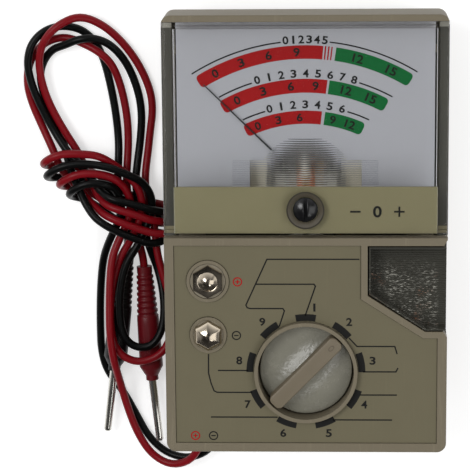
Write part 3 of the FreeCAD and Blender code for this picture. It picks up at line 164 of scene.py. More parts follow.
BLACK_ROUTE = [
    (-21.2, -46.0, 7.0), (-21.2, -52.0, 7.0), (-23.4, -57.6, 4.8), (-28.6, -60.6, 3.4), (-34.4, -59.8, 2.0),
    (-39.0, -55.8, 1.3), (-41.9, -50.2, 1.0), (-45.0, -44.2, 1.0), (-48.9, -39.2, 1.0), (-50.3, -34.0, 1.0),
    (-50.4, -28.0, 1.0), (-50.3, -21.9, 1.1), (-49.9, -15.6, 1.4), (-49.2, -10.6, 2.4), (-47.9, -6.8, 4.2),
    (-46.3, -3.4, 5.4), (-44.7, -0.2, 5.8), (-44.2, 3.4, 5.8), (-45.2, 6.8, 6.0), (-47.2, 8.5, 7.8),
    (-50.2, 9.0, 8.3), (-53.4, 8.6, 8.2), (-56.7, 6.4, 7.2), (-56.7, 4.7, 2.1), (-53.6, 3.9, 1.0),
    (-50.4, 1.9, 1.0), (-46.6, -1.0, 1.0), (-43.0, -2.9, 1.0), (-40.0, -3.9, 1.0), (-37.2, -4.3, 1.0),
    (-34.1, -4.4, 2.1), (-34.1, -5.4, 7.0), (-37.2, -5.8, 8.2), (-40.4, -4.7, 8.2), (-44.0, -3.3, 8.2),
    (-47.6, -1.5, 8.3), (-50.7, 0.6, 7.6), (-53.0, 3.8, 5.9), (-54.3, 6.8, 5.4), (-55.5, 9.6, 5.3),
    (-56.7, 12.6, 4.1), (-57.7, 15.6, 2.2), (-58.7, 19.8, 1.0), (-60.8, 24.4, 1.0), (-62.8, 29.0, 1.0),
    (-63.7, 33.4, 1.0), (-62.8, 37.2, 1.0), (-60.4, 40.2, 1.6), (-57.4, 41.2, 2.6), (-53.6, 42.9, 4.0),
    (-49.6, 43.0, 3.6), (-45.9, 41.0, 2.4), (-42.6, 36.6, 1.0), (-40.2, 30.5, 1.0), (-39.3, 24.7, 1.0),
    (-39.8, 18.2, 1.0), (-40.6, 12.7, 1.6), (-41.0, 8.8, 2.9), (-40.7, 5.0, 3.4), (-39.8, 1.2, 3.4),
    (-39.0, -2.6, 3.4), (-38.4, -5.8, 3.35), (-37.6, -9.2, 1.8), (-36.2, -13.0, 1.3), (-35.0, -17.6, 2.4),
    (-34.4, -22.4, 4.4), (-34.8, -27.2, 6.4), (-37.0, -31.0, 7.0), (-40.6, -31.8, 7.0), (-43.6, -30.0, 7.0),
    (-45.0, -26.1, 6.6), (-45.2, -21.0, 6.4), (-44.7, -15.8, 6.4), (-43.4, -11.0, 6.3), (-41.1, -7.5, 6.2),
    (-39.5, -4.7, 5.8), (-38.2, -1.6, 5.7), (-36.9, 2.0, 5.5), (-37.0, 5.8, 5.8), (-39.2, 9.4, 7.2),
    (-43.0, 11.2, 8.2), (-46.6, 12.8, 8.5), (-50.4, 13.5, 8.2), (-54.6, 13.7, 8.2), (-58.8, 12.8, 8.2),
    (-62.0, 10.6, 7.0), (-62.0, 9.2, 2.1), (-59.0, 9.2, 1.0), (-55.0, 9.2, 1.0), (-50.0, 7.1, 1.0),
    (-44.8, 3.9, 1.0), (-40.2, 1.2, 1.0), (-37.2, 0.4, 1.0), (-34.1, 0.2, 2.1), (-34.1, 1.8, 7.0),
    (-37.2, 2.5, 8.2), (-40.0, 3.5, 8.3), (-43.2, 4.4, 8.3), (-46.4, 5.0, 8.3), (-49.0, 6.6, 6.5),
    (-51.0, 9.2, 5.6), (-53.7, 12.8, 5.7), (-57.0, 16.0, 4.8), (-59.8, 20.0, 3.3), (-62.2, 24.4, 3.0),
    (-64.3, 28.9, 3.0), (-65.8, 33.5, 3.0), (-66.3, 37.5, 3.2), (-65.2, 41.8, 3.2), (-62.0, 44.9, 2.8),
    (-57.8, 45.9, 1.8), (-53.4, 44.9, 1.0), (-50.2, 42.0, 1.0), (-48.2, 37.8, 1.0), (-46.8, 32.0, 1.0),
    (-45.6, 25.0, 1.0), (-45.0, 18.0, 1.0), (-45.1, 12.6, 2.2), (-45.3, 8.6, 3.4), (-45.0, 4.6, 3.4),
    (-44.2, 0.6, 3.4), (-43.4, -2.6, 3.45), (-43.0, -5.6, 2.9), (-43.41, -8.63, 2.33), (-43.89, -12.5, 2.41),
]

# Printed lines of the panel, each a run of points
PANEL_LINES = [
    [(12.3, -5.05), (-8.85, -5.05), (-13.75, -15.85), (-13.45, -16.45), (-12.8, -16.65), (-5.25, -16.65),
     (-4.9, -17.2), (-6.1, -20.9)],
    [(-11.4, -10.9), (1.9, -10.9), (2.25, -11.35), (-0.1, -18.3)],
    [(9.95, -23.6), (11.8, -25.6), (20.5, -25.6), (21.05, -27.4)],
    [(21.25, -30.7), (20.8, -31.65), (13.2, -31.65)],
    [(12.5, -37.2), (21.05, -37.2)],
    [(6.3, -43.2), (19.95, -43.2)],
    [(-22.1, -42.6), (-6.6, -42.6)],
    [(-22.5, -27.5), (-22.55, -32.0), (-22.0, -34.4), (-21.3, -36.3), (-20.6, -36.65), (-12.5, -36.65)],
    [(-20.35, -31.4), (-13.4, -31.4)],
]

# Numbers of the selector's nine positions, clockwise from the top: figure and the place of its middle
POSITION_FIGURES = [
    ("1", 2.0, -16.4),
    ("2", 10.0, -19.8),
    ("3", 15.4, -29.0),
    ("4", 13.5, -39.5),
    ("5", 5.3, -46.4),
    ("6", -5.3, -46.4),
    ("7", -13.5, -39.5),
    ("8", -15.4, -29.0),
    ("9", -10.0, -19.8),
]
POSITION_FIGURE_HEIGHT = 1.9

# Half widths of figures as shares of their height
FIGURE_HALVES = {"1": 0.13, "12": 0.62, "15": 0.62}
PLAIN_FIGURE_HALF = 0.36

# Blocks round the selector: how many, their inner and outer radius, and half their angle
BLOCK_COUNT = 9
BLOCK_RING = (12.15, 13.75)
BLOCK_HALF = 10.2

# Signs in a ring beside the terminals and at the lead exits: place, sign and ink
PANEL_SIGNS = [
    (-15.65, -10.35, "+", "red"),
    (-16.0, -23.05, "-", "dark"),
    (-25.75, -47.1, "+", "red"),
    (-21.55, -47.1, "-", "dark"),
]
SIGN_RING = (0.82, 1.08)
SIGN_ARM = 0.5
SIGN_LINE = 0.26

# Marks beside the zero screw: the box of the nought, each sign with its place, and the signs' arm and line
NOUGHT_BOX = (15.4, 17.4, 4.5, 7.2)
ZERO_SIGNS = [("-", 11.4, 5.85), ("+", 21.4, 5.85)]
ZERO_SIGN_ARM = 1.2
ZERO_SIGN_LINE = 0.42

# Rings at the zero screw's hole, dark with painted shade of the hole: name, screen colour, and the radius and
# height of each corner of the section
SCREW_HOLE_RINGS = [
    ("screw_hole_shaded_rim", (80, 74, 62), [(2.98, 27.93), (4.08, 28.955), (4.08, 29.0), (2.98, 27.98)]),
    ("screw_hole_shaded_edge", (50, 46, 37), [(4.02, 29.01), (4.34, 29.01), (4.34, 29.04), (4.02, 29.04)]),
]

# Dial bands: inner radius, outer radius, start and end in degrees clockwise from the top, ink, and the
# rounding of the corners at the start and at the end
DIAL_BANDS = [
    (44.8, 47.9, -31.9, 4.9, "red", (0.9, 0.0)),
    (44.8, 47.9, 5.35, 5.75, "red", (0.0, 0.0)),
    (44.8, 47.9, 6.25, 6.65, "red", (0.0, 0.0)),
    (44.8, 47.9, 7.15, 7.5, "red", (0.0, 0.0)),
    (44.8, 47.9, 8.5, 31.2, "green", (0.0, 0.9)),
    (37.0, 40.2, -29.7, 7.2, "red", (0.9, 0.0)),
    (37.0, 40.2, 7.9, 28.5, "green", (0.0, 0.9)),
    (29.8, 32.85, -26.2, 6.6, "red", (0.9, 0.0)),
    (29.8, 32.85, 7.9, 24.8, "green", (0.0, 0.9)),
]

# Dial lines: radius, then start and end in degrees for each stretch
DIAL_LINES = [
    (48.9, [(-32.2, -6.6), (6.5, 31.5)]),
    (41.1, [(-28.9, -17.4), (17.4, 28.9)]),
    (33.95, [(-25.1, -15.8), (16.4, 25.4)]),
]
DIAL_LINE_HALF = 0.16

# Dial figures: radius of their middle, height, and each figure with its angle
DIAL_FIGURES = [
    (49.25, 1.85, [("0", -5.3), ("1", -3.2), ("2", -1.1), ("3", 1.0), ("4", 3.1), ("5", 5.2)]),
    (41.45, 1.85, [("0", -15.5), ("1", -11.6), ("2", -7.7), ("3", -3.8), ("4", 0.1), ("5", 4.0), ("6", 7.9),
                   ("7", 11.8), ("8", 15.6)]),
    (34.3, 1.85, [("0", -14.0), ("1", -9.4), ("2", -4.8), ("3", -0.1), ("4", 4.6), ("5", 9.3), ("6", 14.2)]),
    (46.35, 2.0, [("0", -26.5), ("3", -18.5), ("6", -10.5), ("9", -2.5), ("12", 15.0), ("15", 25.0)]),
    (38.6, 2.0, [("0", -24.0), ("3", -14.6), ("6", -5.0), ("9", 3.4), ("12", 14.0), ("15", 22.8)]),
    (31.3, 1.9, [("0", -20.5), ("3", -11.5), ("6", -2.5), ("9", 11.5), ("12", 19.0)]),
]

# Grey half-round on the dial, over the window, painted shade for the dark opening into the movement: height
# of its centre, radius, foot, head and step of its rows
SHADE_CENTRE = 13.4
SHADE_RADIUS = 7.8
SHADE_FOOT = 16.05
SHADE_HEAD = 21.15
SHADE_STEP = 0.25

# Snap terminals: across flats, roundness and height of each ring, from the shank's foot to the tip
CUP_RINGS = [
    (3.0, 1, 20.3), (3.0, 1, 28.2), (6.5, 0, 28.2), (6.7, 0, 28.4), (6.7, 0, 29.72), (6.64, 0, 29.8),
    (4.7, 1, 29.78), (4.5, 1, 29.74), (4.3, 1, 29.82), (3.7, 1, 30.06), (2.8, 1, 30.36), (1.8, 1, 30.6),
    (0.9, 1, 30.72), (0.3, 1, 30.75),
]
DOME_RINGS = [
    (3.0, 1, 20.3), (3.0, 1, 28.2), (6.0, 0, 28.2), (6.2, 0, 28.4), (6.2, 0, 29.7), (6.05, 0, 29.95),
    (5.5, 0.12, 30.35), (4.6, 0.25, 30.75), (3.5, 0.4, 31.08), (2.3, 0.6, 31.36), (1.1, 0.9, 31.54),
    (0.3, 1, 31.6),
]

# Washers round the terminals: inner and outer radius, then low and high
WASHER_RING = (2.0, 4.02)
WASHER_LEVELS = (28.8, 28.95)

# Bending power of the clear plastic, in the cover and in its flutes
COVER_BENDING = 1.49
FLUTE_BENDING = 1.18

# Pale cards beside the movement, painted light for the bright patches that the flutes spread into the window:
# distance from the middle, width and head of each, their foot, then low and high
WINDOW_LIGHT_CARDS = [(11.6, 5.2, 16.4), (6.95, 4.0, 12.6)]
CARD_FOOT = 3.2
CARD_LEVELS = (16.3, 16.8)

# Pale strip under the cover's far wall, painted light that brightens the dark band seen through that wall:
# its line and width, then low and high
FAR_WALL_LIGHT_LINE = [(-29.6, 48.55), (29.6, 48.55)]
FAR_WALL_LIGHT_WIDTH = 1.7
FAR_WALL_LIGHT_LEVELS = (17.85, 18.05)

# Pale triangle over the movement, a painted reflection, and the dark half ring round its pole gap, painted
# shade
HIGHLIGHT_PLATE_LEFT = [(-2.2, 12.0), (-0.4, 15.5)]
HIGHLIGHT_PLATE_RIGHT = [(1.8, 12.0), (-0.2, 15.5)]
HIGHLIGHT_PLATE_LEVELS = (18.7, 18.82)
POLE_CENTRE = (0.0, 12.6)
POLE_RING = (5.7, 8.3)
POLE_LEVELS = (14.22, 14.3)

# Liner of the tray's walls, dark tray plastic as painted shade along the pocket's edges, and where the
# floor's specks start and are full, along Y and along X. The specks are the colours of parts under the smoked
# floor with painted glints on them
TRAY_WALL_SHADE = [(32.2, -2.42), (14.72, -2.42), (14.72, -13.2), (27.5, -21.6), (32.2, -21.6)]
LINER_WIDTH = 0.36
LINER_TOP = 28.75
GLINT_SPECKS_ALONG = (-5.5, -9.0)
GLINT_SPECKS_ACROSS = (30.8, 29.8)

# Knob's disc: radius, height, rings across its top, its rounded edge as inset and drop from the top's corner,
# and the chamfer at its foot
KNOB_RADIUS = 10.75
DISC_HEIGHT = 1.8
DISC_RINGS = 24
DISC_EDGE = [(0.0, 0.5), (0.15, 0.15), (0.5, 0.0)]
DISC_FOOT = 0.3

# Slopes that rise from the disc to the bar on both sides: reach, and height beside the bar
BANK_REACH = 5.5
BANK_HEIGHT = 1.45

# Knob's bar: turn in degrees, half width, gap at its ends, corner, and depth of its foot in the disc
BAR_TURN = 44.5
BAR_HALF = 1.85
BAR_END_GAP = 0.05
BAR_CORNER = 1.3
BAR_FOOT = 0.3

# Mark on the bar: distance from the knob's middle, inner and outer radius, stretch along the bar, thickness
MARK_PLACE = 8.4
MARK_RING = (0.34, 0.5)
MARK_STRETCH = 1.7
MARK_FILM = 0.03


class TesterSizes(bpy.types.PropertyGroup):
    """Sizes of the dressing."""
    lead_diameter: bpy.props.FloatProperty(
        name="Lead diameter", description="Outside diameter of both leads",
        default=1.9 * MM, min=1.0 * MM, max=4.0 * MM, subtype="DISTANCE", unit="LENGTH")
    red_length: bpy.props.FloatProperty(
        name="Red lead length", description="Length of the red lead",
        default=574.2 * MM, min=100.0 * MM, subtype="DISTANCE", unit="LENGTH")
    black_length: bpy.props.FloatProperty(
        name="Black lead length", description="Length of the black lead",
        default=542.2 * MM, min=100.0 * MM, subtype="DISTANCE", unit="LENGTH")
    print_film: bpy.props.FloatProperty(
        name="Print film", description="Thickness of printed ink",
        default=0.03 * MM, min=0.01 * MM, max=0.2 * MM, subtype="DISTANCE", unit="LENGTH")
    print_line: bpy.props.FloatProperty(
        name="Print line", description="Width of printed lines",
        default=0.3 * MM, min=0.1 * MM, max=1.0 * MM, subtype="DISTANCE", unit="LENGTH")
    flute_pitch: bpy.props.FloatProperty(
        name="Cover flutes", description="Spacing of the flutes under the cover",
        default=0.5 * MM, min=0.3 * MM, max=1.5 * MM, subtype="DISTANCE", unit="LENGTH")
    tray_pitch: bpy.props.FloatProperty(
        name="Tray ribs", description="Spacing of the ribs on the cell tray's floor",
        default=0.44 * MM, min=0.3 * MM, max=1.5 * MM, subtype="DISTANCE", unit="LENGTH")
    bar_round: bpy.props.FloatProperty(
        name="Bar rounding", description="Rounding of the pointer bar's upper edges",
        default=0.4 * MM, min=0.1 * MM, max=1.0 * MM, subtype="DISTANCE", unit="LENGTH")


class TesterColours(bpy.types.PropertyGroup):
    """Colours of the finishes."""
    case: bpy.props.FloatVectorProperty(name="Case", description="Moulded case", subtype="COLOR",
                                        default=paint(112, 104, 87))
    label: bpy.props.FloatVectorProperty(name="Label", description="Printed panel film", subtype="COLOR",
                                         default=paint(101, 95, 73))
    mask: bpy.props.FloatVectorProperty(name="Mask strip", description="Strip under the cover",
                                        subtype="COLOR", default=paint(122, 116, 83))
    dial: bpy.props.FloatVectorProperty(name="Dial", description="Painted dial plate", subtype="COLOR",
                                        default=paint(170, 171, 176))
    red_ink: bpy.props.FloatVectorProperty(name="Red ink", description="Low bands", subtype="COLOR",
                                           default=paint(156, 18, 20))
    green_ink: bpy.props.FloatVectorProperty(name="Green ink", description="Good bands", subtype="COLOR",
                                             default=paint(12, 98, 48))
    dark_ink: bpy.props.FloatVectorProperty(name="Dark ink", description="Lines and figures", subtype="COLOR",
                                            default=paint(30, 30, 29))
    knob: bpy.props.FloatVectorProperty(name="Knob", description="Selector disc", subtype="COLOR",
                                        default=paint(126, 124, 112))
    bar: bpy.props.FloatVectorProperty(name="Knob bar", description="Selector pointer bar", subtype="COLOR",
                                       default=paint(107, 97, 79))
    red_lead: bpy.props.FloatVectorProperty(name="Red lead", description="Red sheath", subtype="COLOR",
                                            default=paint(118, 5, 17))
    black_lead: bpy.props.FloatVectorProperty(name="Black lead", description="Black sheath", subtype="COLOR",
                                              default=paint(7, 8, 8))
    red_probe: bpy.props.FloatVectorProperty(name="Red probe", description="Red handle", subtype="COLOR",
                                             default=paint(96, 8, 18))
    tray: bpy.props.FloatVectorProperty(name="Tray", description="Smoked tray floor", subtype="COLOR",
                                        default=paint(52, 51, 44))


def size_of(name):
    """One of the sizes that a user may change, in millimetres."""
    return getattr(bpy.context.scene.tester_sizes, name) / MM


def colours():
    """The colours that a user may change."""
    return bpy.context.scene.tester_colours


# Node helpers

def add_node(tree, kind, place=(0, 0), **settings):
    """A new node at its place on the sheet, with its settings."""
    made = tree.nodes.new(kind)
    made.location = place
    for name, value in settings.items():
        setattr(made, name, value)
    return made


def set_inputs(node, **values):
    """Sets inputs by name, with an underscore for each space."""
    for name, value in values.items():
        node.inputs[name.replace("_", " ")].default_value = value


def join_sockets(tree, *links):
    """Joins nodes. Each link is a node and its output, then a node and its input."""
    for start, output, end, entry in links:
        tree.links.new(start.outputs[output], end.inputs[entry])


def set_ramp(node, *stops):
    """Gives a colour ramp its stops, each a place from 0 to 1 and a colour."""
    elements = node.color_ramp.elements
    elements.remove(elements[1])
    for i, (place, colour) in enumerate(stops):
        stop = elements.new(place) if i else elements[0]
        stop.position = place
        stop.color = (*colour, 1.0)


def nodes_of(material):
    """A finish's node tree, its shader and its moulded surface group."""
    tree = material.node_tree
    surface = next(node for node in tree.nodes if node.type == "GROUP")
    return tree, tree.nodes["Principled BSDF"], surface


def moulding_group():
    """Mottled colour, uneven roughness and a fine grain height for moulded and painted surfaces."""
    name = "moulded surface"
    if name in bpy.data.node_groups:
        return bpy.data.node_groups[name]
    tree = bpy.data.node_groups.new(name, "ShaderNodeTree")
    face = tree.interface
    base = face.new_socket(name="Base", in_out="INPUT", socket_type="NodeSocketColor")
    base.default_value = (0.5, 0.5, 0.5, 1)
    for socket, value in (("Mottle", 0.08), ("Mottle Scale", 120.0), ("Grain Scale", 2500.0),
                          ("Roughness", 0.5), ("Spread", 0.1), ("Scuffs", 0.0)):
        face.new_socket(name=socket, in_out="INPUT", socket_type="NodeSocketFloat").default_value = value
    face.new_socket(name="Colour", in_out="OUTPUT", socket_type="NodeSocketColor")
    for socket in ("Roughness", "Height"):
        face.new_socket(name=socket, in_out="OUTPUT", socket_type="NodeSocketFloat")
    source = add_node(tree, "NodeGroupInput", (-900, 0))
    out = add_node(tree, "NodeGroupOutput", (500, 0))
    place = add_node(tree, "ShaderNodeTexCoord", (-900, -300))
    mottle = add_node(tree, "ShaderNodeTexNoise", (-600, 100))
    set_inputs(mottle, Detail=3.0, Roughness=0.6)
    grain = add_node(tree, "ShaderNodeTexNoise", (-600, -200))
    set_inputs(grain, Detail=2.0, Roughness=0.5)
    centred = add_node(tree, "ShaderNodeMath", (-400, 100), operation="SUBTRACT")
    centred.inputs[1].default_value = 0.5
    strength = add_node(tree, "ShaderNodeMath", (-250, 100), operation="MULTIPLY_ADD")
    strength.inputs[2].default_value = 1.0
    shade = add_node(tree, "ShaderNodeVectorMath", (-50, 150), operation="SCALE")
    uneven = add_node(tree, "ShaderNodeMath", (-250, -100), operation="MULTIPLY_ADD")
    slant = add_node(tree, "ShaderNodeMapping", (-750, -450))
    slant.inputs["Rotation"].default_value = (0.0, 0.0, math.radians(35))
    slant.inputs["Scale"].default_value = (1.0, 0.06, 1.0)
    scratch = add_node(tree, "ShaderNodeTexNoise", (-600, -450))
    set_inputs(scratch, Scale=1500.0, Detail=2.0)
    fine = add_node(tree, "ShaderNodeMapRange", (-400, -450))
    set_inputs(fine, From_Min=0.6, From_Max=0.74)
    marks = add_node(tree, "ShaderNodeMath", (-250, -450), operation="MULTIPLY")
    pale = add_node(tree, "ShaderNodeVectorMath", (100, 50), operation="SCALE")
    pale.inputs["Scale"].default_value = 1.5
    worn = add_node(tree, "ShaderNodeMix", (250, 100), data_type="RGBA")
    join_sockets(tree, (place, "Object", slant, "Vector"), (slant, "Vector", scratch, "Vector"),
                 (scratch, "Fac", fine, "Value"), (fine, "Result", marks, 0), (source, "Scuffs", marks, 1),
                 (shade, 0, pale, 0), (marks, 0, worn, "Factor"), (shade, 0, worn, "A"), (pale, 0, worn, "B"),
                 (worn, "Result", out, "Colour"))
    join_sockets(tree, (place, "Object", mottle, "Vector"), (place, "Object", grain, "Vector"),
                 (source, "Mottle Scale", mottle, "Scale"), (source, "Grain Scale", grain, "Scale"),
                 (mottle, "Fac", centred, 0), (centred, 0, strength, 0), (source, "Mottle", strength, 1),
                 (source, "Base", shade, 0), (strength, 0, shade, "Scale"), (centred, 0, uneven, 0),
                 (source, "Spread", uneven, 1), (source, "Roughness", uneven, 2),
                 (uneven, 0, out, "Roughness"), (grain, "Fac", out, "Height"))
    return tree


def finish(name, colour, roughness=0.5, mottle=0.08, mottle_scale=120.0, grain=2500.0, bump=0.1, depth=0.03,
           spread=0.12, metallic=0.0, specular=0.5, scuffs=0.0):
    """A Principled material whose colour, roughness and bump come from the moulded surface group."""
    if name in bpy.data.materials:
        return bpy.data.materials[name]
    material = bpy.data.materials.new(name)
    material.use_nodes = True
    tree = material.node_tree
    shader = tree.nodes["Principled BSDF"]
    set_inputs(shader, Metallic=metallic, Specular_IOR_Level=specular)
    surface = add_node(tree, "ShaderNodeGroup", (-500, 100), node_tree=moulding_group())
    set_inputs(surface, Base=(*colour, 1.0), Mottle=mottle, Mottle_Scale=mottle_scale, Grain_Scale=grain,
               Roughness=roughness, Spread=spread, Scuffs=scuffs)
    relief = add_node(tree, "ShaderNodeBump", (-250, -200))
    set_inputs(relief, Strength=bump, Distance=depth * MM)
    join_sockets(tree, (surface, "Colour", shader, "Base Color"), (surface, "Roughness", shader, "Roughness"),
                 (surface, "Height", relief, "Height"), (relief, "Normal", shader, "Normal"))
    return material


def clear_plastic(name, bending):
    """See-through plastic of a given bending power, which lets lamp light and bounced light pass."""
    if name in bpy.data.materials:
        return bpy.data.materials[name]
    material = bpy.data.materials.new(name)
    material.use_nodes = True
    tree = material.node_tree
    shader = tree.nodes["Principled BSDF"]
    out = tree.nodes["Material Output"]
    set_inputs(shader, Transmission_Weight=1.0, IOR=bending, Base_Color=(0.97, 0.975, 0.98, 1.0))
    surface = add_node(tree, "ShaderNodeGroup", (-500, 100), node_tree=moulding_group())
    set_inputs(surface, Mottle_Scale=60.0, Roughness=0.02, Spread=0.03)
    rays = add_node(tree, "ShaderNodeLightPath", (-300, 500))
    lights = add_node(tree, "ShaderNodeMath", (-100, 450), operation="MAXIMUM")
    passing = add_node(tree, "ShaderNodeBsdfTransparent", (0, 200))
    passing.inputs["Color"].default_value = (0.95, 0.95, 0.95, 1.0)
    cover = add_node(tree, "ShaderNodeMixShader", (300, 300))
    out.location = (500, 300)
    join_sockets(tree, (surface, "Roughness", shader, "Roughness"),
                 (rays, "Is Shadow Ray", lights, 0), (rays, "Is Diffuse Ray", lights, 1),
                 (lights, 0, cover, 0), (shader, 0, cover, 1), (passing, 0, cover, 2),
                 (cover, 0, out, "Surface"))
    return material


def ink(which):
    """The red, green or dark printing ink."""
    colour = getattr(colours(), which + "_ink")
    return finish(which + " ink", colour, roughness=0.55, mottle=0.12, mottle_scale=900.0, grain=4000.0,
                  bump=0.05, specular=0.1)


# Mesh helpers

def keep_piece(name, shape, material, body="case", smooth=False, nodes=()):
    """Makes a piece of the tester from a mesh or a bmesh, hangs it on the body that it rides on, and hides
    the CAD nodes that it stands in for.
    """
    mesh = mesh_from(shape, name) if isinstance(shape, bmesh.types.BMesh) else shape
    piece = bpy.data.objects.new(name, mesh)
    bpy.context.scene.collection.objects.link(piece)
    if material is not None:
        mesh.materials.append(material)
    mesh.polygons.foreach_set("use_smooth", [smooth] * len(mesh.polygons))
    if smooth:
        mesh.set_sharp_from_angle(angle=SHARP_ANGLE)
    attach(piece, body)
    if nodes:
        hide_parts(*nodes)
    return piece


def mesh_from(build, name):
    """The mesh of a bmesh, which is freed."""
    mesh = bpy.data.meshes.new(name)
    build.to_mesh(mesh)
    build.free()
    return mesh


def strip(build, left, right, low, high):
    """A closed flat strip between two rows of points, in millimetres, from height low to high."""
    rings = []
    for (ax, ay), (bx, by) in zip(left, right):
        corners = [(ax, ay, low), (bx, by, low), (bx, by, high), (ax, ay, high)]
        rings.append([build.verts.new(Vector(c) * MM) for c in corners])
    for first, second in zip(rings, rings[1:]):
        for i in range(4):
            j = (i + 1) % 4
            build.faces.new((first[i], first[j], second[j], second[i]))
    build.faces.new(rings[0][::-1])
    build.faces.new(rings[-1])


def stroke(build, points, width, low, high):
    """A line of even width with mitred corners."""
    points = [Vector(p) for p in points]
    left = []
    right = []
    for i, point in enumerate(points):
        ways = []
        if i > 0:
            ways.append((point - points[i - 1]).normalized())
        if i < len(points) - 1:
            ways.append((points[i + 1] - point).normalized())
        along = sum(ways, Vector((0, 0))).normalized()
        across = Vector((-along.y, along.x))
        reach = width / 2 / max(MITRE_LIMIT, along.dot(ways[0]))
        left.append(point + across * reach)
        right.append(point - across * reach)
    strip(build, left, right, low, high)


def polar(centre, radius, degrees):
    """The point at a radius from a centre, in degrees clockwise from the top."""
    angle = math.radians(degrees)
    return centre[0] + radius * math.sin(angle), centre[1] + radius * math.cos(angle)


def arc_band(build, centre, inner, outer, start, end, low, high, rounds=(0.0, 0.0)):
    """A curved band whose two ends may have rounded corners."""
    middle = (inner + outer) / 2
    degree = math.radians(1) * middle
    steps = max(2, int(abs(end - start) * 2))
    angles = [start + (end - start) * i / steps for i in range(steps + 1)]
    for corner, edge, way in ((rounds[0], start, 1), (rounds[1], end, -1)):
        angles += [edge + way * corner * share / degree for share in (0.1, 0.3, 0.6) if corner]
    near = []
    far = []
    for angle in sorted(angles):
        inset = 0.0
        for corner, distance in ((rounds[0], (angle - start) * degree), (rounds[1], (end - angle) * degree)):
            if distance < corner:
                inset = corner - math.sqrt(max(0.0, corner ** 2 - (corner - distance) ** 2))
        near.append(polar(centre, inner + inset, angle))
        far.append(polar(centre, outer - inset, angle))
    strip(build, near, far, low, high)


def figure_mesh(words):
    """Closed figures one unit thick, from Blender's own plain font."""
    curve = bpy.data.curves.new("figures", "FONT")
    curve.body = words
    curve.extrude = 0.5
    curve.offset = FIGURE_WEIGHT
    curve.resolution_u = 4
    holder = bpy.data.objects.new("figures", curve)
    bpy.context.scene.collection.objects.link(holder)
    graph = bpy.context.evaluated_depsgraph_get()
    mesh = bpy.data.meshes.new_from_object(holder.evaluated_get(graph))
    bpy.data.objects.remove(holder)
    bpy.data.curves.remove(curve)
    return mesh


def add_figures(build, words, box, low, high, turn=0.0):
    """Fits figures into a box of left, right, foot and head, then turns them clockwise about its middle."""
    mesh = figure_mesh(words)
    xs = [v.co.x for v in mesh.vertices]
    ys = [v.co.y for v in mesh.vertices]
    left, right, foot, head = box
    grow_x = (right - left) / (max(xs) - min(xs))
    grow_y = (head - foot) / (max(ys) - min(ys))
    middle = Vector(((left + right) / 2, (foot + head) / 2, 0))
    spin = Matrix.Rotation(-math.radians(turn), 3, "Z")
    for vertex in mesh.vertices:
        flat = Vector((left + (vertex.co.x - min(xs)) * grow_x, foot + (vertex.co.y - min(ys)) * grow_y, 0))
        flat = middle + spin @ (flat - middle)
        vertex.co = Vector((flat.x, flat.y, high if vertex.co.z > 0 else low)) * MM
    build.from_mesh(mesh)
    bpy.data.meshes.remove(mesh)


def half_width(figure, height):
    """Half the width of a figure of a given height."""
    return height * FIGURE_HALVES.get(figure, PLAIN_FIGURE_HALF)


def draw_sign(build, sign, x, y, arm, line, low, high):
    """A minus, or a plus made of strokes that don't overlap."""
    stroke(build, [(x - arm, y), (x + arm, y)], line, low, high)
    if sign == "+":
        for way in (1, -1):
            stroke(build, [(x, y + way * arm), (x, y + way * line / 2)], line, low, high)


def dress(node, material):
    """Gives a CAD node its finish."""
    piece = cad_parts[node]
    if not piece.material_slots:
        piece.data.materials.append(material)
    for slot in piece.material_slots:
        slot.material = material


def merged_copy(node):
    """The solid of a CAD node as one welded mesh with flat faces joined up."""
    build = bmesh.new()
    build.from_mesh(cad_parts[node].data)
    bmesh.ops.transform(build, matrix=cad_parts[node].matrix_world, verts=build.verts)
    bmesh.ops.remove_doubles(build, verts=build.verts, dist=WELD_GAP * MM)
    bmesh.ops.dissolve_limit(build, angle_limit=FLAT_ANGLE, verts=build.verts, edges=build.edges)
    return build


def smooth_copy(name, node, material, body="case"):
    """Stands a smoothly shaded copy in the place of a CAD node."""
    return keep_piece(name, merged_copy(node), material, body, smooth=True, nodes=(node,))


def soften(piece, width, segments=2, angle=30):
    """Rounds the sharp edges of a piece."""
    edge = piece.modifiers.new("edges", "BEVEL")
    edge.width = width * MM
    edge.segments = segments
    edge.limit_method = "ANGLE"
    edge.angle_limit = math.radians(angle)
    edge.harden_normals = True


def rounded_plan(half_x, half_y, radius, steps=6):
    """Points round a rectangle with rounded corners."""
    points = []
    for sx, sy, start in ((1, 1, 0), (-1, 1, 90), (-1, -1, 180), (1, -1, 270)):
        for i in range(steps + 1):
            angle = math.radians(start + 90 * i / steps)
            points.append((sx * (half_x - radius) + radius * math.cos(angle),
                           sy * (half_y - radius) + radius * math.sin(angle)))
    return points


def lathe(build, profile, centre, steps=96):
    """A solid turned about a vertical axis from (radius, height) points.

    The points start and end on the axis, or else go once round the section of a ring.
    """
    rings = []
    for radius, height in profile:
        if radius == 0:
            rings.append([build.verts.new(Vector((*centre, height)) * MM)])
            continue
        ring = []
        for i in range(steps):
            angle = 2 * math.pi * i / steps
            x = centre[0] + radius * math.cos(angle)
            y = centre[1] + radius * math.sin(angle)
            ring.append(build.verts.new(Vector((x, y, height)) * MM))
        rings.append(ring)
    if profile[0][0] > 0:
        rings.append(rings[0])
    for first, second in zip(rings, rings[1:]):
        for i in range(steps):
            j = (i + 1) % steps
            if len(first) == 1:
                build.faces.new((first[0], second[i], second[j]))
            elif len(second) == 1:
                build.faces.new((first[i], second[0], first[j]))
            else:
                build.faces.new((first[i], second[i], second[j], first[j]))
    bmesh.ops.recalc_face_normals(build, faces=build.faces)


# Rows of ribs

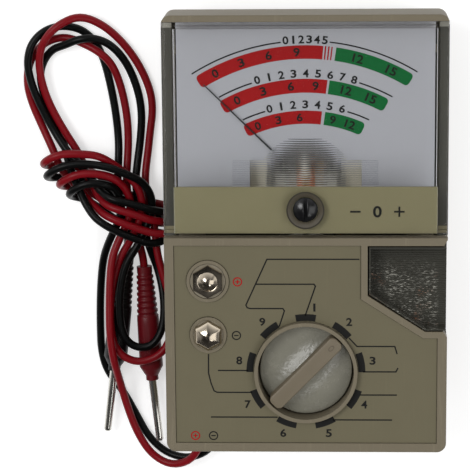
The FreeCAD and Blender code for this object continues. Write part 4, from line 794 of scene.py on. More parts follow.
def rib_rows_tree():
    """Builds the tree for rows of fine ribs, each from a left edge to a right edge that its height sets."""
    tree = bpy.data.node_groups.new("rib rows", "GeometryNodeTree")
    face = tree.interface
    face.new_socket(name="Rows", in_out="INPUT", socket_type="NodeSocketInt")
    for socket in ("First Row", "Pitch", "Level", "Thickness", "Flat Left", "Flat Right", "Flat End", "Slope",
                   "Slope Start", "Disc Radius", "Disc Height"):
        face.new_socket(name=socket, in_out="INPUT", socket_type="NodeSocketFloat")
    face.new_socket(name="Finish", in_out="INPUT", socket_type="NodeSocketMaterial")
    face.new_socket(name="Geometry", in_out="OUTPUT", socket_type="NodeSocketGeometry")
    source = add_node(tree, "NodeGroupInput")
    given = source.outputs
    out = add_node(tree, "NodeGroupOutput", (1800, 0))

    def math_node(operation, *values):
        made = add_node(tree, "ShaderNodeMath", operation=operation)
        for entry, value in zip(made.inputs, values):
            if isinstance(value, float):
                entry.default_value = value
            else:
                tree.links.new(value, entry)
        return made.outputs[0]

    def vector_of(**parts):
        made = add_node(tree, "ShaderNodeCombineXYZ")
        for axis, value in parts.items():
            tree.links.new(value, made.inputs[axis])
        return made

    rows = add_node(tree, "GeometryNodeMeshLine", mode="OFFSET")
    start = vector_of(Y=given["First Row"], Z=given["Level"])
    step = vector_of(Y=given["Pitch"])
    spot = add_node(tree, "GeometryNodeInputPosition")
    split = add_node(tree, "ShaderNodeSeparateXYZ")
    join_sockets(tree, (source, "Rows", rows, "Count"), (start, 0, rows, "Start Location"),
                 (step, 0, rows, "Offset"), (spot, 0, split, 0))
    height = split.outputs["Y"]
    below = math_node("MAXIMUM", math_node("SUBTRACT", given["Slope Start"], height), 0.0)
    left = math_node("MULTIPLY_ADD", below, given["Slope"], given["Flat Left"])
    inside = math_node("LESS_THAN", height, given["Flat End"])
    rise = math_node("SUBTRACT", height, given["Disc Height"])
    chord = math_node("SUBTRACT", math_node("MULTIPLY", given["Disc Radius"], given["Disc Radius"]),
                      math_node("MULTIPLY", rise, rise))
    half = math_node("SQRT", math_node("MAXIMUM", chord, 0.0))
    keep_left = math_node("MINIMUM", math_node("MULTIPLY", left, inside), math_node("MULTIPLY", half, -1.0))
    disc_rows = math_node("GREATER_THAN", given["Disc Radius"], 0.0)
    plain = math_node("SUBTRACT", 1.0, disc_rows)
    final_left = math_node("ADD", math_node("MULTIPLY", keep_left, disc_rows),
                           math_node("MULTIPLY", left, plain))
    keep_right = math_node("MAXIMUM", math_node("MULTIPLY", given["Flat Right"], inside), half)
    final_right = math_node("ADD", math_node("MULTIPLY", keep_right, disc_rows),
                            math_node("MULTIPLY", given["Flat Right"], plain))
    length = math_node("SUBTRACT", final_right, final_left)
    shift = vector_of(X=math_node("MULTIPLY", math_node("ADD", final_right, final_left), 0.5))
    stretch = vector_of(X=given["Thickness"], Y=math_node("MULTIPLY", given["Pitch"], RIB_SHARE), Z=length)
    move = add_node(tree, "GeometryNodeSetPosition")
    rod = add_node(tree, "GeometryNodeMeshCylinder")
    set_inputs(rod, Vertices=8, Radius=1.0, Depth=1.0)
    place = add_node(tree, "GeometryNodeInstanceOnPoints")
    place.inputs["Rotation"].default_value = (0.0, math.radians(90), 0.0)
    whole = add_node(tree, "GeometryNodeRealizeInstances")
    painted = add_node(tree, "GeometryNodeSetMaterial")
    capture = add_node(tree, "GeometryNodeCaptureAttribute")
    capture.capture_items.new("VECTOR", "Stretch")
    join_sockets(tree, (rows, "Mesh", capture, "Geometry"), (stretch, 0, capture, "Stretch"),
                 (capture, "Geometry", move, "Geometry"), (shift, 0, move, "Offset"),
                 (move, "Geometry", place, "Points"), (rod, "Mesh", place, "Instance"),
                 (capture, "Stretch", place, "Scale"), (place, "Instances", whole, "Geometry"),
                 (whole, "Geometry", painted, "Geometry"), (source, "Finish", painted, "Material"),
                 (painted, "Geometry", out, "Geometry"))


def rib_rows(name, slot, **values):
    """Runs the rib tree with lengths in millimetres and keeps the result as a plain mesh."""
    if "rib rows" not in bpy.data.node_groups:
        rib_rows_tree()
    tree = bpy.data.node_groups["rib rows"]
    named = {item.name: item.identifier for item in tree.interface.items_tree if item.in_out == "INPUT"}
    holder = bpy.data.objects.new(name, bpy.data.meshes.new(name))
    bpy.context.scene.collection.objects.link(holder)
    maker = holder.modifiers.new("ribs", "NODES")
    maker.node_group = tree
    for key, value in values.items():
        socket = key.replace("_", " ")
        plain = socket in ("Rows", "Slope", "Finish")
        maker[named[socket]] = value if plain else value * MM
    graph = bpy.context.evaluated_depsgraph_get()
    mesh = bpy.data.meshes.new_from_object(holder.evaluated_get(graph))
    bpy.data.objects.remove(holder)
    return keep_piece(name, mesh, None, smooth=True)


# Operators

class TESTER_OT_stage(bpy.types.Operator):
    """Sets up the white floor, the soft light and the camera above the tester"""
    bl_idname = "tester.stage"
    bl_label = "Stage"

    def execute(self, context):
        scene = context.scene
        scene.view_settings.view_transform = "Standard"
        self.floor(scene)
        self.light(scene)
        self.camera(scene)
        return {"FINISHED"}

    def seen_directly(self, tree):
        """1 for camera, glossy and transmission rays, else 0."""
        rays = add_node(tree, "ShaderNodeLightPath", (-800, 300))
        first = add_node(tree, "ShaderNodeMath", (-600, 300), operation="MAXIMUM")
        second = add_node(tree, "ShaderNodeMath", (-450, 300), operation="MAXIMUM")
        join_sockets(tree, (rays, "Is Camera Ray", first, 0), (rays, "Is Glossy Ray", first, 1),
                     (first, 0, second, 0), (rays, "Is Transmission Ray", second, 1))
        return second.outputs[0]

    def floor(self, scene):
        """A white floor that keeps the tester's shadow."""
        build = bmesh.new()
        bmesh.ops.create_grid(build, x_segments=1, y_segments=1, size=FLOOR_HALF)
        mesh = mesh_from(build, "floor")
        floor = bpy.data.objects.new("floor", mesh)
        scene.collection.objects.link(floor)
        floor.location.z = -FLOOR_DROP * MM
        material = bpy.data.materials.new("white floor")
        material.use_nodes = True
        tree = material.node_tree
        tree.nodes.clear()
        out = add_node(tree, "ShaderNodeOutputMaterial", (400, 0))
        paper = add_node(tree, "ShaderNodeBsdfDiffuse", (-200, -100))
        paper.inputs["Color"].default_value = (0.7, 0.7, 0.7, 1.0)
        glow = add_node(tree, "ShaderNodeEmission", (-200, 100))
        level = add_node(tree, "ShaderNodeMath", (-350, 100), operation="MULTIPLY")
        level.inputs[1].default_value = 0.5
        both = add_node(tree, "ShaderNodeAddShader", (200, 0))
        tree.links.new(self.seen_directly(tree), level.inputs[0])
        join_sockets(tree, (level, 0, glow, "Strength"), (paper, 0, both, 0), (glow, 0, both, 1),
                     (both, 0, out, "Surface"))
        mesh.materials.append(material)

    def light(self, scene):
        """An even world, with a studio of light and dark patches for glossy rays, and the lamps."""
        world = bpy.data.worlds.new("studio")
        scene.world = world
        world.use_nodes = True
        tree = world.node_tree
        tree.nodes.clear()
        out = add_node(tree, "ShaderNodeOutputWorld", (600, 0))
        sky = add_node(tree, "ShaderNodeBackground", (400, 0))
        rays = add_node(tree, "ShaderNodeLightPath", (-800, -200))
        place = add_node(tree, "ShaderNodeTexCoord", (-800, 0))
        split = add_node(tree, "ShaderNodeSeparateXYZ", (-600, 0))
        room = add_node(tree, "ShaderNodeValToRGB", (-400, 0))
        set_ramp(room, (0.0, (0.95, 0.95, 0.95)), (0.7, (0.22, 0.22, 0.22)), (1.0, (0.05, 0.05, 0.05)))
        patches = add_node(tree, "ShaderNodeTexNoise", (-600, -300))
        set_inputs(patches, Scale=2.2, Detail=0.0)
        side = add_node(tree, "ShaderNodeMath", (-500, -300), operation="MULTIPLY_ADD")
        side.inputs[1].default_value = 0.5
        contrast = add_node(tree, "ShaderNodeMapRange", (-400, -300))
        set_inputs(contrast, From_Min=0.38, From_Max=0.72, To_Min=0.08, To_Max=1.7)
        studio = add_node(tree, "ShaderNodeMix", (-300, -100), data_type="RGBA", blend_type="MULTIPLY")
        studio.inputs["Factor"].default_value = 1.0
        even = add_node(tree, "ShaderNodeMix", (-200, 0), data_type="RGBA")
        even.inputs["A"].default_value = (0.55, 0.55, 0.55, 1.0)
        white = add_node(tree, "ShaderNodeMix", (0, 0), data_type="RGBA")
        white.inputs["B"].default_value = (1.0, 1.0, 1.0, 1.0)
        join_sockets(tree, (place, "Generated", split, 0), (split, "Z", room, "Fac"),
                     (rays, "Is Glossy Ray", even, "Factor"), (place, "Generated", patches, "Vector"),
                     (split, "Y", side, 0), (patches, "Fac", side, 2), (side, 0, contrast, "Value"),
                     (room, "Color", studio, "A"), (contrast, "Result", studio, "B"),
                     (studio, "Result", even, "B"), (rays, "Is Camera Ray", white, "Factor"),
                     (even, "Result", white, "A"), (white, "Result", sky, "Color"), (sky, 0, out, "Surface"))
        for name, spot, size, power in LAMPS:
            lamp = bpy.data.lights.new(name, "AREA")
            lamp.size = size
            lamp.energy = power
            holder = bpy.data.objects.new(name, lamp)
            scene.collection.objects.link(holder)
            holder.location = spot
            holder.rotation_euler = (-Vector(spot)).to_track_quat("-Z", "Y").to_euler()

    def camera(self, scene):
        """A camera high above the front face."""
        data = bpy.data.cameras.new("camera")
        data.sensor_fit = "HORIZONTAL"
        data.angle = 2 * math.atan(HALF_PICTURE / FOCAL_LENGTH)
        data.clip_start = 0.01
        holder = bpy.data.objects.new("camera", data)
        scene.collection.objects.link(holder)
        eye = Vector(EYE) * MM
        target = Vector(TARGET) * MM
        ahead = (target - eye).normalized()
        side = ahead.cross(Vector((0, 1, 0))).normalized()
        upward = side.cross(ahead)
        roll = math.radians(CAMERA_ROLL)
        right = side * math.cos(roll) + upward * math.sin(roll)
        up = upward * math.cos(roll) - side * math.sin(roll)
        turn = Matrix((right, up, -ahead)).transposed()
        holder.matrix_world = Matrix.Translation(eye) @ turn.to_4x4()
        scene.camera = holder


class TESTER_OT_leads(bpy.types.Operator):
    """Lays the red and the black test lead in their knot and finishes the probes"""
    bl_idname = "tester.leads"
    bl_label = "Test leads"

    def execute(self, context):
        shade = colours()
        red = finish("red sheath", shade.red_lead, roughness=0.36, mottle=0.2, mottle_scale=300.0,
                     grain=1500.0, bump=0.12, specular=0.18)
        black = finish("black sheath", shade.black_lead, roughness=0.36, mottle=0.25, mottle_scale=300.0,
                       grain=1500.0, bump=0.12, specular=0.15)
        red_grip = finish("red handle", shade.red_probe, roughness=0.42, mottle=0.2, bump=0.15, specular=0.3,
                          scuffs=0.2)
        black_grip = finish("black handle", paint(12, 12, 14), roughness=0.42, mottle=0.25, bump=0.15,
                            specular=0.3, scuffs=0.2)
        plate = finish("bright pin plating", paint(205, 203, 196), roughness=0.2, mottle=0.1,
                       mottle_scale=500.0, metallic=1.0, spread=0.1, bump=0.02, scuffs=0.25)
        self.lay("red", RED_ROUTE, size_of("red_length"), red, red_grip, plate)
        self.lay("black", BLACK_ROUTE, size_of("black_length"), black, black_grip, plate)
        return {"FINISHED"}

    def lay(self, name, route, length, material, grip, plate):
        """One lead along its route, with its handle and pin."""
        curve = bpy.data.curves.new(name + "_test_lead", "CURVE")
        curve.dimensions = "3D"
        curve.bevel_depth = size_of("lead_diameter") / 2 * MM
        curve.bevel_resolution = 4
        curve.resolution_u = 5
        curve.use_fill_caps = True
        line = curve.splines.new("NURBS")
        line.points.add(len(route) - 1)
        for point, place in zip(line.points, route):
            point.co = (*(value * MM for value in place), 1.0)
        line.order_u = 3
        line.use_endpoint_u = True
        curve.materials.append(material)
        lead = bpy.data.objects.new(name + "_test_lead", curve)
        bpy.context.scene.collection.objects.link(lead)
        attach(lead, "case")
        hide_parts(name + "_lead")
        probe = [smooth_copy(name + "_handle", name + "_probe_handle", grip),
                 smooth_copy(name + "_pin", name + "_probe_pin", plate)]
        size_of("lead_diameter") * MM


class TESTER_OT_case(bpy.types.Operator):
    """Finishes the case, its fittings and what is inside it"""
    bl_idname = "tester.case"
    bl_label = "Case and inner parts"

    def execute(self, context):
        shade = colours()
        moulded = {"roughness": 0.5, "mottle": 0.1, "mottle_scale": 70.0, "grain": 2200.0, "bump": 0.16,
                   "specular": 0.22, "scuffs": 0.3}
        dress("rear_cover", finish("moulded case", shade.case, **moulded))
        front = finish("moulded front with painted seat shade", shade.case, **moulded)
        # The front case's material carries painted shade and painted light on the cover's ledge
        self.paint_seat_light_and_shade(front)
        soften(smooth_copy("rounded_front_case", "front_case", front), CASE_ROUND, segments=3)
        film = finish("label film", shade.label, roughness=0.55, mottle=0.07, mottle_scale=200.0,
                      grain=3200.0, bump=0.14, specular=0.35, scuffs=0.08)
        dress("label_plate", film)
        dress("dial_plate", finish("dial paint", shade.dial, roughness=0.6, mottle=0.05, mottle_scale=60.0,
                                   specular=0.2))
        iron = finish("magnet iron", paint(120, 116, 108), roughness=0.5, mottle=0.3, mottle_scale=400.0)
        # The yoke is far paler than iron: painted light for the deep, poorly lit cavity under the window
        pole = finish("yoke painted light", paint(226, 220, 204), roughness=0.5, mottle=0.25, mottle_scale=400.0)
        steel = finish("screw steel", paint(165, 165, 163), roughness=0.3, metallic=1.0, mottle=0.1)
        light = finish("bridge metal", paint(206, 203, 194), roughness=0.45, metallic=0.2, mottle=0.08)
        brass = finish("plain brass", paint(190, 150, 84), roughness=0.32, metallic=1.0, mottle=0.12)
        copper = finish("copper winding", paint(214, 132, 92), roughness=0.4, metallic=0.3, mottle=0.2,
                        mottle_scale=800.0)
        # The moving coil's copper is darkened as painted shade, while the zero lever keeps bright copper
        winding = finish("coil winding painted shade", paint(112, 86, 74), roughness=0.5, mottle=0.2, mottle_scale=800.0)
        finishes = {
            finish("dark moulding", paint(40, 40, 42), roughness=0.5): ("switch_rotor",),
            # The frame moulding is pale: painted light for the window's pale blocks over the shaded cavity
            finish("frame moulding with painted light", paint(168, 162, 146), roughness=0.5): ("meter_frame",),
            iron: ("magnet_core",),
            pole: ("magnet_yoke",),
            steel: ("case_screws", "frame_screws", "dial_screws", "needle_stops", "movement_pillars",
                    "bridge_screws", "board_screws", "pivot_shaft", "selector_shaft", "detent_spring"),
            light: ("core_webs", "upper_bridge", "lower_bridge"),
            brass: ("jewel_screws", "upper_hairspring", "lower_hairspring", "balance_weights",
                    "selector_bush", "wiper", "contact_pads", "solder_lugs", "terminal_nuts"),
            copper: ("lead_tails", "zero_lever"),
            winding: ("moving_coil",),
            finish("circuit board", paint(104, 112, 62), roughness=0.45): ("circuit_board",),
            finish("resistor lacquer", paint(178, 150, 108), roughness=0.3): ("load_resistors",),
            finish("black rubber", paint(26, 26, 27), roughness=0.6): ("lead_grommets",),
            finish("needle paint", paint(10, 10, 11), roughness=0.4): ("pointer",),
        }
        glossy = finish("dark glossy plastic", paint(16, 16, 18), roughness=0.24, bump=0.04, scuffs=0.2)
        smooth_copy("smooth_zero_screw", "zero_adjust_screw", glossy, "zero_screw")
        for material, nodes in finishes.items():
            for node in nodes:
                dress(node, material)
        return {"FINISHED"}

    def paint_seat_light_and_shade(self, material):
        """Colours the ledge that the clear cover stands on with painted light and shade: dark painted shade
        at the sides, pale painted light at the two ends.
        """
        tree, shader, surface = nodes_of(material)
        place = add_node(tree, "ShaderNodeTexCoord", (-1100, 500))
        split = add_node(tree, "ShaderNodeSeparateXYZ", (-900, 500))
        below = add_node(tree, "ShaderNodeMath", (-700, 500), operation="LESS_THAN")
        below.inputs[1].default_value = SEAT_TOP * MM
        beyond = add_node(tree, "ShaderNodeMath", (-700, 350), operation="GREATER_THAN")
        beyond.inputs[1].default_value = 0.0
        both = add_node(tree, "ShaderNodeMath", (-500, 450), operation="MULTIPLY")
        above = add_node(tree, "ShaderNodeMath", (-700, 200), operation="GREATER_THAN")
        above.inputs[1].default_value = (SEAT_TOP - SEAT_DEPTH) * MM
        level = add_node(tree, "ShaderNodeMath", (-350, 400), operation="MULTIPLY")
        dark = add_node(tree, "ShaderNodeMix", (-200, 350), data_type="RGBA")
        along = add_node(tree, "ShaderNodeMapRange", (-700, 0))
        set_inputs(along, From_Min=0.0, From_Max=SEAT_RUN * MM)
        zones = add_node(tree, "ShaderNodeValToRGB", (-500, 0))
        zones.color_ramp.interpolation = "CONSTANT"
        set_ramp(zones, *((start / SEAT_RUN, paint(*shade)) for start, shade in SEAT_LIGHT_AND_SHADE))
        join_sockets(tree, (place, "Object", split, 0), (split, "Z", below, 0), (split, "Y", beyond, 0),
                     (below, 0, both, 0), (split, "Y", along, "Value"), (along, "Result", zones, "Fac"),
                     (zones, "Color", dark, "B"), (beyond, 0, both, 1), (split, "Z", above, 0),
                     (both, 0, level, 0), (above, 0, level, 1), (level, 0, dark, "Factor"),
                     (surface, "Colour", dark, "A"), (dark, "Result", shader, "Base Color"))


class TESTER_OT_terminals(bpy.types.Operator):
    """Shapes the two plated snap terminals and the washers round them"""
    bl_idname = "tester.terminals"
    bl_label = "Terminals"

    def execute(self, context):
        nickel = finish("nickel plating", paint(190, 178, 160), roughness=0.18, metallic=1.0, mottle=0.14,
                        mottle_scale=400.0, spread=0.12, bump=0.03, scuffs=0.2)
        washers = bmesh.new()
        for node, rings in (("positive_terminal", CUP_RINGS), ("negative_terminal", DOME_RINGS)):
            low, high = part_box(node)
            centre = ((low[0] + high[0]) / 2 / MM, (low[1] + high[1]) / 2 / MM)
            build = bmesh.new()
            self.stack(build, centre, rings)
            arc_band(washers, centre, *WASHER_RING, *FULL_TURN, *WASHER_LEVELS)
            keep_piece("plated_" + node, build, nickel, smooth=True, nodes=(node,))
        # The washers are beige but paler than the case: partly painted light in the shaded recess round the
        # terminals
        beige = finish("washer plastic with painted light", paint(128, 120, 103), roughness=0.5, mottle=0.1)
        keep_piece("terminal_washers", washers, beige)
        return {"FINISHED"}

    def stack(self, build, centre, rings, steps=48):
        """Joins six-sided rings that may be partly or fully round."""
        made = []
        for flats, roundness, height in rings:
            ring = []
            for i in range(steps):
                angle = 2 * math.pi * i / steps
                off_flat = (angle + math.pi / 6) % (math.pi / 3) - math.pi / 6
                six_sided = flats / 2 / math.cos(off_flat)
                radius = six_sided * (1 - roundness) + flats / 2 * roundness
                x = centre[0] + radius * math.cos(angle)
                y = centre[1] + radius * math.sin(angle)
                ring.append(build.verts.new(Vector((x, y, height)) * MM))
            made.append(ring)
        for first, second in zip(made, made[1:]):
            for i in range(steps):
                j = (i + 1) % steps
                build.faces.new((first[i], first[j], second[j], second[i]))
        build.faces.new(made[0][::-1])
        build.faces.new(made[-1])
        bmesh.ops.recalc_face_normals(build, faces=build.faces)


class TESTER_OT_panel_print(bpy.types.Operator):
    """Prints the lines, position numbers, signs and selector blocks on the panel"""
    bl_idname = "tester.panel_print"
    bl_label = "Panel print"

    def execute(self, context):
        low = top_of("label_plate") + PRINT_LIFT
        high = low + size_of("print_film")
        dark = bmesh.new()
        red = bmesh.new()
        for points in PANEL_LINES:
            stroke(dark, points, size_of("print_line"), low, high)
        rise = POSITION_FIGURE_HEIGHT / 2
        for figure, x, y in POSITION_FIGURES:
            half = half_width(figure, POSITION_FIGURE_HEIGHT)
            add_figures(dark, figure, (x - half, x + half, y - rise, y + rise), low, high)
        for i in range(BLOCK_COUNT):
            middle = 360 / BLOCK_COUNT * i
            arc_band(dark, SELECTOR, *BLOCK_RING, middle - BLOCK_HALF, middle + BLOCK_HALF, low, high)
        for x, y, sign, which in PANEL_SIGNS:
            build = red if which == "red" else dark
            arc_band(build, (x, y), *SIGN_RING, *FULL_TURN, low, high)
            draw_sign(build, sign, x, y, SIGN_ARM, SIGN_LINE, low, high)
        keep_piece("panel_print_dark", dark, ink("dark"))
        keep_piece("panel_print_red", red, ink("red"))
        return {"FINISHED"}


class TESTER_OT_dial_print(bpy.types.Operator):
    """Prints the dial and the marks on the mask strip, and rings the zero screw's hole"""
    bl_idname = "tester.dial_print"
    bl_label = "Dial print"

    def execute(self, context):
        low = top_of("dial_plate") + PRINT_LIFT
        high = low + size_of("print_film")
        inks = {name: bmesh.new() for name in ("red", "green", "dark")}
        for inner, outer, start, end, which, rounds in DIAL_BANDS:
            arc_band(inks[which], DIAL_CENTRE, inner, outer, start, end, low, high, rounds)
        for radius, stretches in DIAL_LINES:
            for start, end in stretches:
                arc_band(inks["dark"], DIAL_CENTRE, radius - DIAL_LINE_HALF, radius + DIAL_LINE_HALF,
                         start, end, low, high)
        figure_high = high + size_of("print_film")
        for radius, height, row in DIAL_FIGURES:
            for figure, angle in row:
                x, y = polar(DIAL_CENTRE, radius, angle)
                half = half_width(figure, height)
                box = (x - half, x + half, y - height / 2, y + height / 2)
                add_figures(inks["dark"], figure, box, low, figure_high, angle)
        self.zero_mark()
        self.window_shade(low, high)
        for name, build in inks.items():
            keep_piece("dial_print_" + name, build, ink(name))
        return {"FINISHED"}

    def window_shade(self, low, high):
        """A grey half-round over the window: painted shade for the dark opening into the movement."""
        build = bmesh.new()
        count = math.floor((SHADE_HEAD - SHADE_FOOT) / SHADE_STEP) + 1
        levels = [SHADE_FOOT + SHADE_STEP * i for i in range(count)] + [SHADE_HEAD]
        halves = [math.sqrt(SHADE_RADIUS ** 2 - (y - SHADE_CENTRE) ** 2) for y in levels]
        strip(build, [(-half, y) for half, y in zip(halves, levels)], list(zip(halves, levels)), low, high)
        bmesh.ops.recalc_face_normals(build, faces=build.faces)
        grey = finish("window shade", paint(92, 91, 89), roughness=0.5, mottle=0.8, mottle_scale=260.0)
        keep_piece("window_shade", build, grey)

    def zero_mark(self):
        """A minus, nought and plus beside the zero screw, and the rim and edge of the screw's hole, dark with
        painted shade.
        """
        low = top_of("mask_strip") - COVER_LIFT + PRINT_LIFT
        high = low + size_of("print_film")
        build = bmesh.new()
        add_figures(build, "0", NOUGHT_BOX, low, high)
        for sign, x, y in ZERO_SIGNS:
            draw_sign(build, sign, x, y, ZERO_SIGN_ARM, ZERO_SIGN_LINE, low, high)
        keep_piece("zero_mark", build, ink("dark"))
        # Dark rim and edge of the screw's hole: painted shade
        for name, shade, profile in SCREW_HOLE_RINGS:
            build = bmesh.new()
            lathe(build, profile, ZERO_SCREW)
            look = name.replace("_", " ")
            film = finish(look, paint(*shade), roughness=0.35, mottle=0.35, mottle_scale=500.0)
            keep_piece(name, build, film, smooth=True)


class TESTER_OT_cover(bpy.types.Operator):
    """Makes the clear meter cover, its flutes and mask strip, a pale strip of painted light under its far
    wall, and painted light, reflection and shade for what shows through the flutes
    """
    bl_idname = "tester.cover"
    bl_label = "Meter cover"

    def execute(self, context):
        self.clear_cover()
        self.mask()
        self.window()
        fluted = clear_plastic("fluted cover plastic", FLUTE_BENDING)
        rib_rows("cover_flutes", "clear_plastic", Rows=22, First_Row=12.0, Pitch=size_of("flute_pitch"),
                 Level=27.17, Thickness=0.11, Flat_Left=-16.6, Flat_Right=16.6, Flat_End=17.6, Slope=0.0,
                 Slope_Start=-100.0, Disc_Radius=11.0, Disc_Height=12.2, Finish=fluted)
        return {"FINISHED"}

    def clear_cover(self):
        """The cover itself, drawn in a little and lifted off its ledge."""
        build = merged_copy("meter_cover")
        low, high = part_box("meter_cover")
        middle = (Vector(low) + Vector(high)) / 2
        for vertex in build.verts:
            vertex.co.x = middle.x + (vertex.co.x - middle.x) * COVER_SHRINK
            vertex.co.y = middle.y + (vertex.co.y - middle.y) * COVER_SHRINK
            if vertex.co.z < low[2] + SAME_LEVEL * MM:
                vertex.co.z += COVER_LIFT * MM
        clear = clear_plastic("clear cover plastic", COVER_BENDING)
        soften(keep_piece("clear_cover", build, clear, nodes=("meter_cover",)), COVER_ROUND)

    def mask(self):
        """The mask strip, with its top lowered away from the cover."""
        build = merged_copy("mask_strip")
        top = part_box("mask_strip")[1][2]
        for vertex in build.verts:
            if vertex.co.z > top - SAME_LEVEL * MM:
                vertex.co.z -= COVER_LIFT * MM
        beige = finish("mask strip", colours().mask, roughness=0.5, mottle=0.06, mottle_scale=150.0)
        keep_piece("printed_mask", build, beige, nodes=("mask_strip",))

    def window(self):
        """Pale cards of painted light, a pale strip of painted light under the far wall, a pale plate of
        painted reflection and a dark half ring of painted shade.
        """
        build = bmesh.new()
        # Pale cards beside the movement: painted light for the bright patches that the flutes spread into the
        # window
        for way in (-1, 1):
            for away, width, head in WINDOW_LIGHT_CARDS:
                stroke(build, [(way * away, CARD_FOOT), (way * away, head)], width, *CARD_LEVELS)
        card = finish("window painted light", paint(214, 208, 190), roughness=0.6, mottle=0.2, mottle_scale=500.0)
        keep_piece("window_painted_light", build, card)
        build = bmesh.new()
        # Pale strip under the far wall: painted light that brightens the dark band seen through that wall
        stroke(build, FAR_WALL_LIGHT_LINE, FAR_WALL_LIGHT_WIDTH, *FAR_WALL_LIGHT_LEVELS)
        far_wall_light = finish("far wall painted light", paint(206, 206, 212), roughness=0.6)
        keep_piece("far_wall_painted_light", build, far_wall_light)
        build = bmesh.new()
        # Pale triangle over the movement: a painted reflection
        strip(build, HIGHLIGHT_PLATE_LEFT, HIGHLIGHT_PLATE_RIGHT, *HIGHLIGHT_PLATE_LEVELS)
        bmesh.ops.recalc_face_normals(build, faces=build.faces)
        keep_piece("movement_highlight_plate", build, finish("painted highlight plate", paint(232, 226, 212)))
        build = bmesh.new()
        # Dark half ring on the yoke: painted shade of the pole gap
        arc_band(build, POLE_CENTRE, *POLE_RING, -90, 90, *POLE_LEVELS)
        keep_piece("pole_shade", build, finish("pole gap painted shade", paint(70, 68, 64)))


class TESTER_OT_tray(bpy.types.Operator):
    """Ribs the smoked floor of the cell tray and lines its walls in dark tray plastic as painted shade"""
    bl_idname = "tester.tray"
    bl_label = "Cell tray"

    def execute(self, context):
        smoked = self.smoked_plastic()
        dress("cell_tray", smoked)
        rib_rows("tray_ribs", "smoked_plastic", Rows=45, First_Row=-21.7, Pitch=size_of("tray_pitch"),
                 Level=top_of("cell_tray"), Thickness=0.1, Flat_Left=14.5, Flat_Right=32.3, Flat_End=100.0,
                 Slope=1.5529, Slope_Start=-13.7, Disc_Radius=0.0, Disc_Height=0.0, Finish=smoked)
        build = bmesh.new()
        # Dark tray plastic up the pocket walls: painted shade along the pocket's edges
        stroke(build, TRAY_WALL_SHADE, LINER_WIDTH, top_of("cell_tray"), LINER_TOP)
        keep_piece("tray_wall_painted_shade", build, smoked)
        return {"FINISHED"}

    def smoked_plastic(self):
        """Dark plastic with a scatter of pale specks over the lower part of the floor: the colours of the
        parts under the smoked floor, with painted glints on them.
        """
        material = finish("smoked tray plastic with painted glints", colours().tray, roughness=0.34, mottle=0.14,
                          mottle_scale=700.0, bump=0.2)
        tree, shader, surface = nodes_of(material)
        place = add_node(tree, "ShaderNodeTexCoord", (-1300, 500))
        split = add_node(tree, "ShaderNodeSeparateXYZ", (-1100, 700))
        stretch = add_node(tree, "ShaderNodeMapping", (-1100, 500))
        stretch.inputs["Scale"].default_value = (0.5, 2.0, 1.0)
        # Pale specks: colours of the parts under the smoked floor, with painted glints on them
        specks = add_node(tree, "ShaderNodeTexNoise", (-900, 500))
        set_inputs(specks, Scale=2400.0, Detail=1.0)
        patch = add_node(tree, "ShaderNodeTexNoise", (-900, 300))
        set_inputs(patch, Scale=170.0, Detail=1.0)
        tint = add_node(tree, "ShaderNodeTexNoise", (-900, 100))
        set_inputs(tint, Scale=240.0)
        bright = add_node(tree, "ShaderNodeMapRange", (-700, 500))
        set_inputs(bright, From_Min=0.56, From_Max=0.7, To_Max=0.7)
        near = add_node(tree, "ShaderNodeMapRange", (-700, 300))
        set_inputs(near, From_Min=0.26, From_Max=0.6)
        lower = add_node(tree, "ShaderNodeMapRange", (-900, 700))
        set_inputs(lower, From_Min=GLINT_SPECKS_ALONG[0] * MM, From_Max=GLINT_SPECKS_ALONG[1] * MM)
        inner = add_node(tree, "ShaderNodeMapRange", (-900, 900))
        set_inputs(inner, From_Min=GLINT_SPECKS_ACROSS[0] * MM, From_Max=GLINT_SPECKS_ACROSS[1] * MM)
        zone = add_node(tree, "ShaderNodeMath", (-700, 800), operation="MULTIPLY")
        scatter = add_node(tree, "ShaderNodeMath", (-500, 400), operation="MULTIPLY")
        shown = add_node(tree, "ShaderNodeMath", (-350, 500), operation="MULTIPLY")
        hue = add_node(tree, "ShaderNodeValToRGB", (-700, 100))
        set_ramp(hue, (0.58, paint(176, 174, 164)), (0.68, paint(160, 104, 72)))
        mix = add_node(tree, "ShaderNodeMix", (-200, 300), data_type="RGBA")
        join_sockets(tree, (place, "Object", split, 0), (place, "Object", stretch, "Vector"),
                     (place, "Object", patch, "Vector"), (place, "Object", tint, "Vector"),
                     (stretch, "Vector", specks, "Vector"), (specks, "Fac", bright, "Value"),
                     (patch, "Fac", near, "Value"), (split, "Y", lower, "Value"),
                     (split, "X", inner, "Value"), (lower, "Result", zone, 0),
                     (inner, "Result", zone, 1), (bright, "Result", scatter, 0),
                     (near, "Result", scatter, 1), (scatter, 0, shown, 0), (zone, 0, shown, 1),
                     (shown, 0, mix, "Factor"), (tint, "Fac", hue, "Fac"), (surface, "Colour", mix, "A"),
                     (hue, "Color", mix, "B"), (mix, "Result", shader, "Base Color"))
        return material


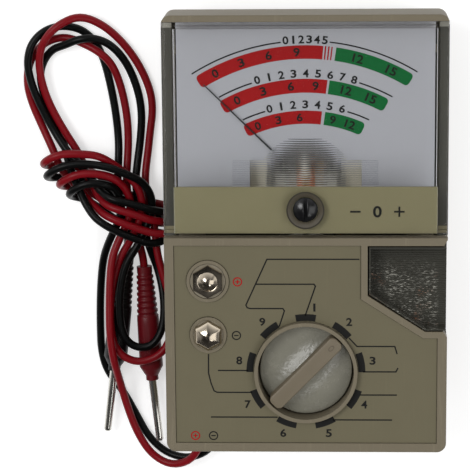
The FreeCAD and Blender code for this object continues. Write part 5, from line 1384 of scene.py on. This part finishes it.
class TESTER_OT_knob(bpy.types.Operator):
    """Shapes the selector's disc, its rounded pointer bar and the bar's mark"""
    bl_idname = "tester.knob"
    bl_label = "Selector knob"

    def execute(self, context):
        low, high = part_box("selector_knob")
        base = low[2] / MM
        bar_top = high[2] / MM
        disc_top = base + DISC_HEIGHT
        self.disc(base, disc_top)
        turn = Matrix.Rotation(-math.radians(BAR_TURN), 3, "Z")
        self.bar(turn, disc_top, bar_top)
        self.mark(turn, bar_top)
        return {"FINISHED"}

    def disc(self, base, top):
        """The round disc, which slopes up to the bar on both sides."""
        build = bmesh.new()
        rings = [(KNOB_RADIUS * (1 - i / DISC_RINGS), top) for i in range(2, DISC_RINGS)]
        foot = [(0, base), (KNOB_RADIUS - DISC_FOOT, base), (KNOB_RADIUS, base + DISC_FOOT)]
        edge = [(KNOB_RADIUS - inset, top - drop) for inset, drop in DISC_EDGE]
        lathe(build, [*foot, *edge, *rings, (0, top)], SELECTOR)
        across = Vector((math.cos(math.radians(BAR_TURN)), -math.sin(math.radians(BAR_TURN))))
        for vertex in build.verts:
            if vertex.co.z < (top - SAME_LEVEL) * MM:
                continue
            flat = Vector((vertex.co.x / MM - SELECTOR[0], vertex.co.y / MM - SELECTOR[1]))
            away = max(0.0, abs(flat.dot(across)) - BAR_HALF)
            inward = 1 - min(1.0, flat.length / KNOB_RADIUS) ** 2
            vertex.co.z += max(0.0, 1 - away / BANK_REACH) ** 2 * inward ** 1.5 * BANK_HEIGHT * MM
        pearl = finish("knob disc", colours().knob, roughness=0.26, mottle=0.3, mottle_scale=330.0,
                       grain=1100.0, bump=1.0, depth=0.09, spread=0.2)
        keep_piece("knob_disc", build, pearl, "selector", smooth=True,
                   nodes=("selector_knob",))

    def bar(self, turn, disc_top, top):
        """The pointer bar, with rounded upper edges."""
        build = bmesh.new()
        plan = rounded_plan(BAR_HALF, KNOB_RADIUS - BAR_END_GAP, BAR_CORNER)
        spots = [turn @ Vector((x, y, 0)) + Vector((*SELECTOR, 0)) for x, y in plan]
        foot = disc_top - BAR_FOOT
        face = build.faces.new([build.verts.new(Vector((p.x, p.y, foot)) * MM) for p in spots])
        raised = bmesh.ops.extrude_face_region(build, geom=[face])
        lifted = [v for v in raised["geom"] if isinstance(v, bmesh.types.BMVert)]
        bmesh.ops.translate(build, verts=lifted, vec=(0, 0, (top - foot) * MM))
        rim = [e for e in build.edges if all(v.co.z > (top - SAME_LEVEL) * MM for v in e.verts)]
        bmesh.ops.recalc_face_normals(build, faces=build.faces)
        bmesh.ops.bevel(build, geom=rim, offset=size_of("bar_round") * MM, segments=3, profile=0.5,
                        affect="EDGES")
        beige = finish("knob bar", colours().bar, roughness=0.5, mottle=0.08, mottle_scale=150.0,
                       grain=2200.0, bump=0.14)
        keep_piece("knob_bar", build, beige, "selector", smooth=True)

    def mark(self, turn, top):
        """The long ring printed near the bar's pointing end."""
        build = bmesh.new()
        spot = turn @ Vector((0, MARK_PLACE, 0)) + Vector((*SELECTOR, 0))
        arc_band(build, (0, 0), *MARK_RING, *FULL_TURN, top, top + MARK_FILM)
        for vertex in build.verts:
            flat = turn @ Vector((vertex.co.x, vertex.co.y * MARK_STRETCH, 0))
            vertex.co.x = flat.x + spot.x * MM
            vertex.co.y = flat.y + spot.y * MM
        brown = finish("knob mark", paint(88, 78, 64), roughness=0.5)
        keep_piece("knob_mark", build, brown, "selector")


OPERATORS = (TESTER_OT_stage, TESTER_OT_leads, TESTER_OT_case, TESTER_OT_terminals, TESTER_OT_panel_print,
             TESTER_OT_dial_print, TESTER_OT_cover, TESTER_OT_tray, TESTER_OT_knob)


class TESTER_PT_panel(bpy.types.Panel):
    """Lists the steps that dress the tester, with their sizes and colours"""
    bl_idname = "TESTER_PT_panel"
    bl_label = "Battery tester"
    bl_space_type = "VIEW_3D"
    bl_region_type = "UI"
    bl_category = "Tester"

    def draw(self, context):
        for operator in OPERATORS:
            self.layout.operator(operator.bl_idname)
        for group in (context.scene.tester_sizes, context.scene.tester_colours):
            for name in group.bl_rna.properties.keys():
                if name not in ("rna_type", "name"):
                    self.layout.prop(group, name)


CLASSES = (TesterSizes, TesterColours, *OPERATORS, TESTER_PT_panel)


def register():
    """Adds the classes and the scene's properties."""
    for item in CLASSES:
        bpy.utils.register_class(item)
    bpy.types.Scene.tester_sizes = bpy.props.PointerProperty(type=TesterSizes)
    bpy.types.Scene.tester_colours = bpy.props.PointerProperty(type=TesterColours)


def unregister():
    """Takes the properties and the classes away again."""
    del bpy.types.Scene.tester_colours
    del bpy.types.Scene.tester_sizes
    for item in reversed(CLASSES):
        bpy.utils.unregister_class(item)


def main():
    """Dresses the tester step by step."""
    register()
    bpy.ops.tester.stage()
    bpy.ops.tester.leads()
    bpy.ops.tester.case()
    bpy.ops.tester.terminals()
    bpy.ops.tester.panel_print()
    bpy.ops.tester.dial_print()
    bpy.ops.tester.cover()
    bpy.ops.tester.tray()
    bpy.ops.tester.knob()


if __name__ == "__main__":
    main()
